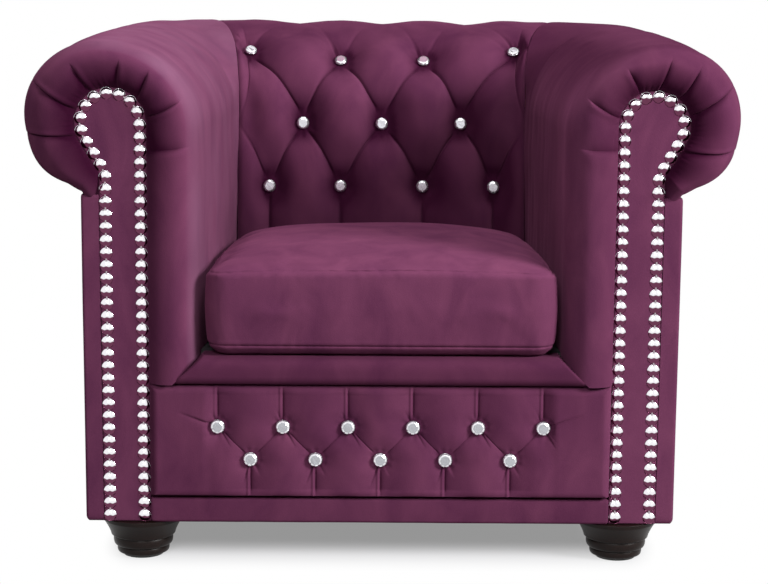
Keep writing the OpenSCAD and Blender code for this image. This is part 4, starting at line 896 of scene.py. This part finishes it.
# painted shade in the folds and on slopes that face left, away from the light from the right
slope = np.gradient(dent, axis=1) / np.gradient(x, axis=1)
painted_shade_share = 0.12 + 0.6 * share_of((fold - 0.5) / 0.5) ** 1.5 - 0.5 * np.clip(slope, -0.7, 0.5)
front = mesh_piece("buttoned_front", points, faces, velvet, 60, {"painted_shade_and_highlight": np.clip(painted_shade_share, 0, 0.8).ravel()})
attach(front, "chair")
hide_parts("front_panel_cover", "front_panel_pad")

# Crystal buttons. A pressed silver cup holds a cut acrylic crystal with a flat table and two
# rings of facets; a foil behind it throws the light back.


def cut_acrylic(name, table, rim):
    """Clear acrylic over foil: the flat table shows the foil, the facets round it flash white."""
    material, tree = new_material(name)
    clear = add(tree, "BsdfPrincipled", {"Base Color": "#F6F6FB", "IOR": 1.49, "Roughness": 0.02,
                                         "Transmission Weight": 0.5})
    where = add(tree, "TexCoord")
    cloud = add(tree, "TexNoise", {"Scale": 160.0, "Detail": 1.0}, {"Vector": where.outputs["Object"]})
    wrinkle = add(tree, "MapRange", {"To Min": 0.1, "To Max": 0.22}, {"Value": cloud})
    flat = add(tree, "Attribute", {"attribute_name": "table"})
    tint = add(tree, "Mix", {"data_type": "RGBA", "A": rim, "B": table},
               {"Factor": flat.outputs["Fac"]})
    # painted reflection: this mark tints the foil dark plum
    sunk = add(tree, "Attribute", {"attribute_name": "sunk"})
    tint = add(tree, "Mix", {"data_type": "RGBA", "B": "#3C1A2E"},
               {"Factor": sunk.outputs["Fac"], "A": tint})
    foil = add(tree, "BsdfGlossy", {}, {"Color": tint, "Roughness": wrinkle})
    cut = add(tree, "MixShader", {0: 0.75}, {1: clear, 2: foil})
    surface(tree, cut)
    return material


silver, tree = new_material("pressed_silver_cup")
where = add(tree, "TexCoord")
grain = add(tree, "TexNoise", {"Scale": 900.0}, {"Vector": where.outputs["Object"]})
wear = add(tree, "MapRange", {"To Min": 0.2, "To Max": 0.35}, {"Value": grain})
cup_metal = add(tree, "BsdfPrincipled", {"Base Color": "#C9C9CE", "Metallic": 1.0},
                {"Roughness": wear})
surface(tree, cup_metal)

button_r, cup_h, crystal_h = 10.5, 2.5, 4.0


def turned(points, place, nz, sway):
    """Tips points forward from +Z until nz of them is left, leans them sideways, and moves them."""
    a = math.acos(max(-1, min(1, float(nz))))
    points = np.asarray(points, dtype=float)
    x, y, z = points.T
    y, z = y * math.cos(a) - z * math.sin(a), y * math.sin(a) + z * math.cos(a)
    s = math.radians(sway)
    x, z = x * math.cos(s) + z * math.sin(s), -x * math.sin(s) + z * math.cos(s)
    return np.stack([x, y, z], axis=1) + np.asarray(place)


def cut_stone(spin):
    """A crystal: a girdle of 16 corners, 8 facet corners above it and a flat table of 8."""
    points = []
    for r, z, count, turn in (
            (button_r - 0.6, cup_h, 16, 0), (button_r - 0.25, cup_h + 0.9, 16, 0),
            (button_r * 0.9, cup_h + 2.4, 16, 0.5), (button_r * 0.72, cup_h + crystal_h, 8, 0)):
        points += [(r * math.cos(2 * math.pi * (k + turn) / count + spin),
                    r * math.sin(2 * math.pi * (k + turn) / count + spin), z) for k in range(count)]
    body = bmesh.new()
    for p in points:
        body.verts.new(p)
    bmesh.ops.convex_hull(body, input=body.verts)
    body.verts.index_update()
    found = [tuple(vert.co) for vert in body.verts], [tuple(v.index for v in f.verts) for f in body.faces]
    body.free()
    return found


# the front crystals' tables are tinted grey, a painted darker reflection, and the back ones near white
for name, spots, table in (("back", back_spots, "#EFEEF5"), ("front", front_spots, "#B4B7BC")):
    stones, cups, tables, deep = [], [], [], []
    for bu, bv in spots:
        if name == "back":
            spot, nz = back_place(bu, bv, tuft_depth * np.interp(bv, *row_tufts))
            rise, sway = stands_out(bu), -math.copysign(8, bu) if abs(bu) > 1 else 0.0
        else:
            fx, fz = front_place(bu, bv)
            spot, nz, rise, sway = (fx, front_y + pillow_y + front_tuft, fz), 0.0, 6.0, 0.0
        stone, faces = cut_stone(draw.uniform(0, 1))
        tables += [float(all(stone[k][2] > cup_h + crystal_h - 0.01 for k in face)) for face in faces]
        # painted reflection: under a full pillow a crystal is tinted dark plum, as if mirroring the cloth
        # rather than light; the others get a little of it at random
        over = [sum(stone[k][1] for k in face) / len(face) > -button_r * 0.3 for face in faces]
        deep += [(1.0 if abs(bu) < 1 else draw.uniform(0, 1)) * up if name == "back" and bv == 2
                 else draw.uniform(0, 0.2) for up in over]
        stone = [(p[0], p[1], p[2] + rise) for p in stone]
        stones.append((turned(stone, spot, nz, sway), faces))
        profile = [(0.4, -3.0), (button_r * 0.6, -0.6), (button_r - 0.7, 0.0), (button_r, 0.7),
                   (button_r, 2.9), (button_r - 0.35, 3.3), (button_r - 0.7, 2.9), (button_r - 0.8, 2.2)]
        cup, faces = lathe([(r, h + rise) for r, h in profile], 28, (0, 0, 0))
        cups.append((turned(cup, spot, nz, sway), faces))
    crystal = cut_acrylic(name + "_cut_acrylic", table, "#FBFBFF")
    stone_set = joined(name + "_crystals", stones, crystal, sharp=1)
    for mark, values in (("table", tables), ("sunk", deep)):
        stone_set.data.attributes.new(mark, "FLOAT", "FACE").data.foreach_set("value", values)
    for face in stone_set.data.polygons:
        face.use_smooth = False
    cup_set = joined(name + "_crystal_cups", cups, silver, sharp=40)
    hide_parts(name + "_buttons")
    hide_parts(name + "_button_cups")
    for thing in (stone_set, cup_set):
        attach(thing, "chair")

# Front border and bottom band. The border is velvet over an edge roll, mitred into the arms at
# both ends; the band hides the panel's lower staples and folds round the bottom of the base.


def swept_band(name, profile, half_at, replaced, seed, painted_shade_share):
    """A band along X: profile points in depth and height, half_at gives the half length there."""
    profile = np.asarray(profile)
    f = np.concatenate([np.linspace(-1, -0.93, 14)[:-1], np.linspace(-0.93, 0.93, 120)[:-1],
                        np.linspace(0.93, 1, 14)])
    half = np.array([half_at(z) for _, z in profile])
    x = f[None, :] * half[:, None]
    grid = np.stack([x, np.broadcast_to(front_y + profile[:, :1], x.shape),
                     np.broadcast_to(profile[:, 1:], x.shape)], axis=-1)
    middle = profile.mean(axis=0)
    towards = middle[None, :] - profile
    towards = towards / np.linalg.norm(towards, axis=1)[:, None]
    end_in = 1.6 * share_of(1 - (1 - np.abs(f)) / 0.012)[None, :] ** 2
    sunk = np.abs(soft_noise(grid, 55.0, seed)) * 0.5 + end_in
    grid[..., 1:] += towards[:, None, :] * sunk[..., None]
    n, cols = grid.shape[:2]
    points = grid.reshape(-1, 3)
    faces = [(i * cols + j, i * cols + j + 1, ((i + 1) % n) * cols + j + 1, ((i + 1) % n) * cols + j)
             for i in range(n) for j in range(cols - 1)]
    faces.append(tuple(i * cols for i in range(n)))
    faces.append(tuple(i * cols + cols - 1 for i in range(n)))
    # painted shade: the whole band gets this even share of the darker velvet colour, more on the border
    # roll than on the bottom band
    band = mesh_piece(name, points, faces, velvet, 50, {"painted_shade_and_highlight": np.full(len(points), painted_shade_share)})
    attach(band, "chair")
    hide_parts(replaced)
    return band


nose_r = 14.0
nose_z = border_z + gap + nose_r
top_r = deck_z - nose_z
profile = [(arm_straight_y - 0.5, border_z + gap + 0.3), (nose_r + 20, border_z + gap + 0.3)]
profile += [(nose_r - nose_r * math.sin(a), nose_z - (nose_r - 0.3) * math.cos(a))
            for a in np.linspace(0, math.pi / 2, 12)]
profile += [(top_r * (1 - math.cos(a) ** 0.62), nose_z + (top_r - 0.6) * math.sin(a) ** 0.62)
            for a in np.linspace(0, math.pi / 2, 22)[1:]]
profile += [(v, deck_z - 0.6) for v in np.linspace(top_r + 8, arm_straight_y - 0.5, 6)]
border = swept_band("front_border_roll", profile,
                    lambda z: mitre_x - 0.6 - (z - border_z), "front_border", 81.0, 0.36)
r, band_y, band_rear_y = 5.0, 17, 43.2
profile = []
for cx, cz, start in ((band_y + r, panel_low_z - r, 1), (band_y + r, base_z + r, 2),
                      (band_rear_y - r, base_z + r, 3), (band_rear_y - r, panel_low_z - r, 0)):
    profile += [(cx + r * math.cos(a), cz + r * math.sin(a))
                for a in np.linspace(start * math.pi / 2, (start + 1) * math.pi / 2, 7)]
swept_band("bottom_band_wrap", profile, lambda z: facing_inner_x - 0.5, "bottom_band", 85.0, 0.16)

# Seat cushion. A block of foam in a loose velvet case: crowned top panel, boxing with a plain
# seam at each edge and a zip at the rear. The pressure of the foam rounds every face.
boxing_h, crown, cushion_r, bow = 114.0, 19.0, 38.0, 4.0
low_seam_z = deck_z + 14.0
top_seam_z = low_seam_z + boxing_h
cushion_front, cushion_rear = 4.0, back_low_y - 9.0
cushion_d = cushion_rear - cushion_front
cushion_mid = front_y + cushion_front + cushion_d / 2
half_front = arm_inner_x - 1.2


def cushion_half(depth):
    way = share_of((depth - arm_straight_y) / (back_high_y - corner_lag - arm_straight_y))
    return lerp(arm_inner_x, arm_rear_x, 0.75 * way) - 1.2


def cushion_ring(inset, scale, z, crowned=False):
    """One ring round the cushion in plan, with rounded corners, narrowed towards the rear."""
    count = 22
    wide, long = half_front - cushion_r, cushion_d / 2 - cushion_r
    r = cushion_r - inset
    points = []
    for q in range(4):
        sx, sy = (1, -1, -1, 1)[q], (1, 1, -1, -1)[q]
        for k in range(10):
            a = math.pi / 2 * (q + k / 9)
            points.append((sx * wide + r * math.cos(a), sy * long + r * math.sin(a)))
        for k in range(1, count):
            f = k / count
            points.append((sx * lerp(wide, -wide, f), sy * (long + r)) if q % 2 == 0
                          else (sx * (wide + r), sy * lerp(long, -long, f)))
    ring = []
    for x, y in points:
        depth = cushion_front + cushion_d / 2 + y * scale
        px = x * scale * float(cushion_half(depth)) / half_front
        g, h = min(1, abs(px) / half_front), min(1, abs(y * scale) / (cushion_d / 2))
        rise = crown * (1 - g ** 2.4) * (1 - h ** 2.4) if crowned else 0.0
        ring.append((px, front_y + depth, z + rise))
    return ring


rings = [cushion_ring(bow, s, top_seam_z, crowned=True) for s in (0.04, 0.15, 0.3, 0.5, 0.7, 0.85, 0.94, 1)]
rings += [cushion_ring(bow * k, 1, lerp(top_seam_z, low_seam_z, f))
          for f, k in ((0.04, 0.8), (0.2, 0.35), (0.5, 0.0), (0.8, 0.35), (0.96, 0.8), (1.0, 1.0))]
rings += [cushion_ring(4.5 * bow, 1, deck_z + 0.6)]
cushion = mesh_piece("seat_cushion_case", rings, tube_faces(len(rings), len(rings[0])), velvet)
even = cushion.modifiers.new("even_mesh", "REMESH")
even.mode = "VOXEL"
even.voxel_size = 0.006
bpy.context.view_layer.objects.active = cushion
cushion.select_set(True)
bpy.ops.object.modifier_apply(modifier="even_mesh")
before = np.array([vert.co for vert in cushion.data.vertices])
puff = cushion.modifiers.new("puff", "CLOTH")
puff.settings.use_pressure = True
puff.settings.uniform_pressure_force = 4.0
puff.settings.effector_weights.gravity = 0
puff.settings.quality = 5
puff.point_cache.frame_start = 1
puff.point_cache.frame_end = 20
for k in range(1, 21):
    bpy.context.scene.frame_set(k)
bpy.ops.object.modifier_apply(modifier="puff")
bpy.context.scene.frame_set(1)
move = np.array([vert.co for vert in cushion.data.vertices]) - before
furthest = 0.007
move *= np.minimum(1, furthest / np.maximum(np.linalg.norm(move, axis=1), 1e-9))[:, None]
# foam holds the case out, so that it hardly draws in at its sides
middle = before - np.array([0, 0.001 * cushion_mid, 0])
move[:, :2] *= np.where(move[:, :2] * middle[:, :2] < 0, 0.2, 1.0)
move[:, 2] *= np.where(before[:, 2] < 0.001 * (deck_z + 30), 0.3, 1.0)
cushion.data.vertices.foreach_set("co", (before + move).ravel())
smooth = cushion.modifiers.new("finer", "SUBSURF")
smooth.levels = smooth.render_levels = 1
bpy.ops.object.modifier_apply(modifier="finer")
# the two seams are cut in as loops of their own: a narrow groove with a soft lip on each side
work = bmesh.new()
work.from_mesh(cushion.data)
seams = (top_seam_z - 1.5, low_seam_z + 2.0)
for seam_z in seams:
    for off in (-8.0, -5.0, -2.8, -1.3, 0.0, 1.3, 2.8, 5.0, 8.0):
        bmesh.ops.bisect_plane(work, geom=work.verts[:] + work.edges[:] + work.faces[:], dist=0.00002,
                               plane_co=(0, 0, (seam_z + off) * 0.001), plane_no=(0, 0, 1))
work.to_mesh(cushion.data)
work.free()
spots = np.array([vert.co for vert in cushion.data.vertices]) * 1000
depth = spots[:, 1] - front_y
limit = cushion_half(depth)
# the case can't grow past the arms, the back and the deck
spots[:, 0] = np.clip(spots[:, 0], -limit, limit)
spots[:, 1] = np.clip(spots[:, 1], front_y + cushion_front - 1.5, front_y + cushion_rear)
spots[:, 2] = np.maximum(spots[:, 2], deck_z + gap)
out = spots[:, :2] - np.array([0, cushion_mid])
out = np.sign(out) * np.abs(out / np.array([half_front, cushion_d / 2])) ** 6
out /= np.maximum(np.linalg.norm(out, axis=1), 1e-6)[:, None]
side_near = np.minimum(limit - np.abs(spots[:, 0]), np.minimum(depth - cushion_front, cushion_rear - depth))
pucker = soft_noise(spots, 9.0, 4.0, (1, 1, 0.3))
in_by = np.zeros(len(spots))
for seam_z in seams:
    d = spots[:, 2] - seam_z
    in_by += (2.2 + 0.8 * pucker) * hump(d, 1.3) - 0.25 * hump(np.abs(d) - 5.0, 2.6) \
        + 0.8 * pucker * hump(d, 12)
spots[:, :2] -= out * (in_by * share_of(1.6 - side_near / 16))[:, None]
# soft upright waves in the boxing, and the rear corners sink where the case is slack
wave = soft_noise(spots, 38.0, 14.0, (1, 1, 0.25)) * 0.9
spots[:, :2] -= out * (wave * share_of(1.4 - side_near / 16))[:, None]
g = share_of(np.abs(spots[:, 0]) / half_front)
h = share_of((depth - cushion_front) / cushion_d)
sink = 6 * g ** 4 + 17 * g ** 3 * share_of((h - 0.35) / 0.65) ** 1.3 + 5 * share_of((h - 0.8) / 0.2) ** 2
spots[:, 2] -= sink * share_of((spots[:, 2] - deck_z - 20) / 90)
spots[:, 2] += soft_noise(spots, 130.0, 21.0, (1, 1, 0)) * 1.4 \
    * share_of((spots[:, 2] - deck_z - 60) / 50)
cushion.data.vertices.foreach_set("co", (spots * 0.001).ravel())
for face in cushion.data.polygons:
    face.use_smooth = True
cushion.select_set(False)
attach(cushion, "seat_cushion")
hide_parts("cushion_core", "cushion_top_panel", "cushion_boxing", "cushion_bottom_panel")

# Feet. Turned beech, stained espresso brown and lacquered: stacked ridges that get smaller
# towards the floor, each bolted up into the corner of the frame.
espresso, tree = new_material("lacquered_espresso_beech")
where = add(tree, "TexCoord")
# beech flecks about 1 mm wide, drawn along the turning
grain = add(tree, "Mapping", {"Scale": (1, 1, 4)}, {"Vector": where.outputs["Object"]})
fleck = add(tree, "TexNoise", {"Scale": 260.0, "Detail": 4.0, "Roughness": 0.6}, {"Vector": grain})
stain = add(tree, "ValToRGB", {"stops": ((0.35, "#0E0807"), (0.7, "#1F1310"))}, {"Fac": fleck})
film = add(tree, "MapRange", {"To Min": 0.3, "To Max": 0.45}, {"Value": fleck})
pores = add(tree, "Bump", {"Strength": 0.1, "Distance": 0.0004}, {"Height": fleck})
wood = add(tree, "BsdfPrincipled", {"Specular IOR Level": 0.15, "IOR": 1.5},
           {"Base Color": stain, "Roughness": film, "Normal": pores})
surface(tree, wood)

glide_h, foot_top = 4.0, base_z - gap
# from the floor up: a rounded bottom bead, a taller bead, then a hollow flare to the collar
profile = [(33.6, glide_h + 0.05), (34.8, glide_h + 0.4)]
profile += [(37.0 + 2.2 * math.sin(a), glide_h + 1.0 + 5.4 * (1 - math.cos(a)))
            for a in np.linspace(0.1, math.pi - 0.5, 11)]
profile += [(37.8, 15.2), (38.8, 15.8)]
profile += [(41.2 + 2.8 * math.sin(a) + 1.4 * a / math.pi, 16.2 + 7.2 * (1 - math.cos(a)))
            for a in np.linspace(0.2, math.pi - 0.45, 14)]
profile += [(43.6, 30.6), (44.6, 31.2), (47.6, 31.8), (48.3, 32.6), (48.5, 33.6)]
profile += [(48.6 + 10.2 * f ** 1.3, 33.8 + 21.0 * f) for f in np.linspace(0.06, 1, 14)]
profile += [(59.3, 55.6), (59.6, 56.6), (59.6, foot_top - 1.0), (59.0, foot_top - 0.3), (57.5, foot_top)]
for name, x, y in (("front_left", -357, 70), ("front_right", 357, 70),
                   ("rear_left", -352, 691), ("rear_right", 352, 691)):
    foot = joined("turned_foot_" + name, [lathe(profile, 72, (x, front_y + y, 0))], espresso, sharp=38)
    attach(foot, "chair")
    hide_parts("foot_" + name)

# Frame and inside. Kiln-dried pine rails and posts, plywood front, bent fibreboard, jute webbing,
# a nylon glide under each foot, steel bolts: mostly hidden, seen when the cushion is lifted.


def plain_material(name, low, high, scale, roughness, stretch=(1, 1, 1), bump=0.0003, metallic=0.0):
    """A material with a two-tone pattern whose scale is one over its size in metres."""
    material, tree = new_material(name)
    where = add(tree, "TexCoord")
    drawn = add(tree, "Mapping", {"Scale": stretch}, {"Vector": where.outputs["Object"]})
    figure = add(tree, "TexNoise", {"Scale": scale, "Detail": 4.0}, {"Vector": drawn})
    tone = add(tree, "ValToRGB", {"stops": ((0.35, low), (0.65, high))}, {"Fac": figure})
    relief = add(tree, "Bump", {"Strength": 0.4, "Distance": bump}, {"Height": figure})
    body = add(tree, "BsdfPrincipled", {"Roughness": roughness, "Metallic": metallic},
               {"Base Color": tone, "Normal": relief})
    surface(tree, body)
    return material


pine = plain_material("planed_pine", "#B98E58", "#D9B57F", 160.0, 0.6, (1, 0.12, 0.12))
board = plain_material("pressed_fibreboard", "#7C6240", "#937650", 420.0, 0.85)
jute = plain_material("woven_jute_webbing", "#6F5E45", "#A08C69", 500.0, 0.9, bump=0.0008)
nylon = plain_material("moulded_nylon", "#202020", "#2A2A2A", 300.0, 0.45)
zinc = plain_material("zinc_plated_steel", "#8A8D92", "#A8ABB0", 350.0, 0.35, bump=0.0001, metallic=1.0)
deck_cloth = plain_material("black_platform_cloth", "#1B171B", "#2B252B", 900.0, 0.9, bump=0.0006)
dust_cloth = plain_material("spunbond_dust_cloth", "#121212", "#1E1E1E", 700.0, 0.95, bump=0.0005)
for names, material in (
        (("left_arm_board", "right_arm_board", "left_arm_top_rail", "right_arm_top_rail",
          "left_arm_tack_rail", "right_arm_tack_rail", "back_post_left", "back_post_right",
          "back_top_rail", "back_lower_rail", "front_ply_panel", "seat_rail_front", "seat_rail_rear",
          "seat_rail_left", "seat_rail_right", "front_corner_blocks"), pine),
        (("left_arm_inner_panel", "right_arm_inner_panel", "left_roll_former", "right_roll_former",
          "back_roll_former"), board),
        (("back_webbing", "seat_webbing_long", "seat_webbing_cross"), jute),
        (("foot_glides",), nylon), (("foot_bolts",), zinc), (("cushion_zip",), deck_cloth),
        (("zip_slider",), silver)):
    for name in names:
        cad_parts[name].data.materials.clear()
        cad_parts[name].data.materials.append(material)

# Deck and dust cover. The foam deck under the cushion is covered in black platform cloth with
# a stitched line round it; a thin black spunbond sheet is stapled under the base.


def level_grid(node, inset, cols, rows):
    """A grid in plan over a CAD piece, in mm and as shares from its middle, and its two heights."""
    low, high = (np.array(corner) * 1000 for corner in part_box(node))
    x, y = np.broadcast_arrays(np.linspace(low[0] + inset, high[0] - inset, cols)[None, :],
                               np.linspace(low[1] + inset, high[1] - inset, rows)[:, None])
    fx, fy = 2 * (x - x.mean()) / (x.max() - x.min()), 2 * (y - y.mean()) / (y.max() - y.min())
    return x, y, fx, fy, low[2], high[2]


x, y, fx, fy, low_z, high_z = level_grid("deck_pad", 1, 90, 80)
edge = np.minimum((1 - np.abs(fx)) * (x.max() - x.min()) / 2, (1 - np.abs(fy)) * (y.max() - y.min()) / 2)
z = high_z - 0.2 - 6 * share_of(1 - edge / 12) ** 2 - 1.6 * hump(edge - 40, 3) \
    - 1.2 * np.abs(soft_noise(np.stack([x, y, 0 * x], axis=-1), 80.0, 3.0))
top = np.stack([x, y, z], axis=-1)
under = top.copy()
under[..., 2] = low_z + 0.3
deck = shell("sprung_deck", top, under, deck_cloth, sharp=50)
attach(deck, "chair")
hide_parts("deck_pad")

x, y, fx, fy, _, high_z = level_grid("dust_cover", 0.5, 80, 66)
sag = 5.0 * (1 - fx ** 2) * (1 - fy ** 2) + 0.4 * soft_noise(np.stack([x, y, 0 * x], axis=-1), 60.0, 8.0) \
    * (1 - fx ** 8) * (1 - fy ** 8)
top = np.stack([x, y, high_z - 0.1 - np.maximum(sag, 0)], axis=-1)
under = top - np.array([0, 0, 0.7])
dust = shell("dust_sheet", top, under, dust_cloth, sharp=60)
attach(dust, "chair")
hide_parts("dust_cover")
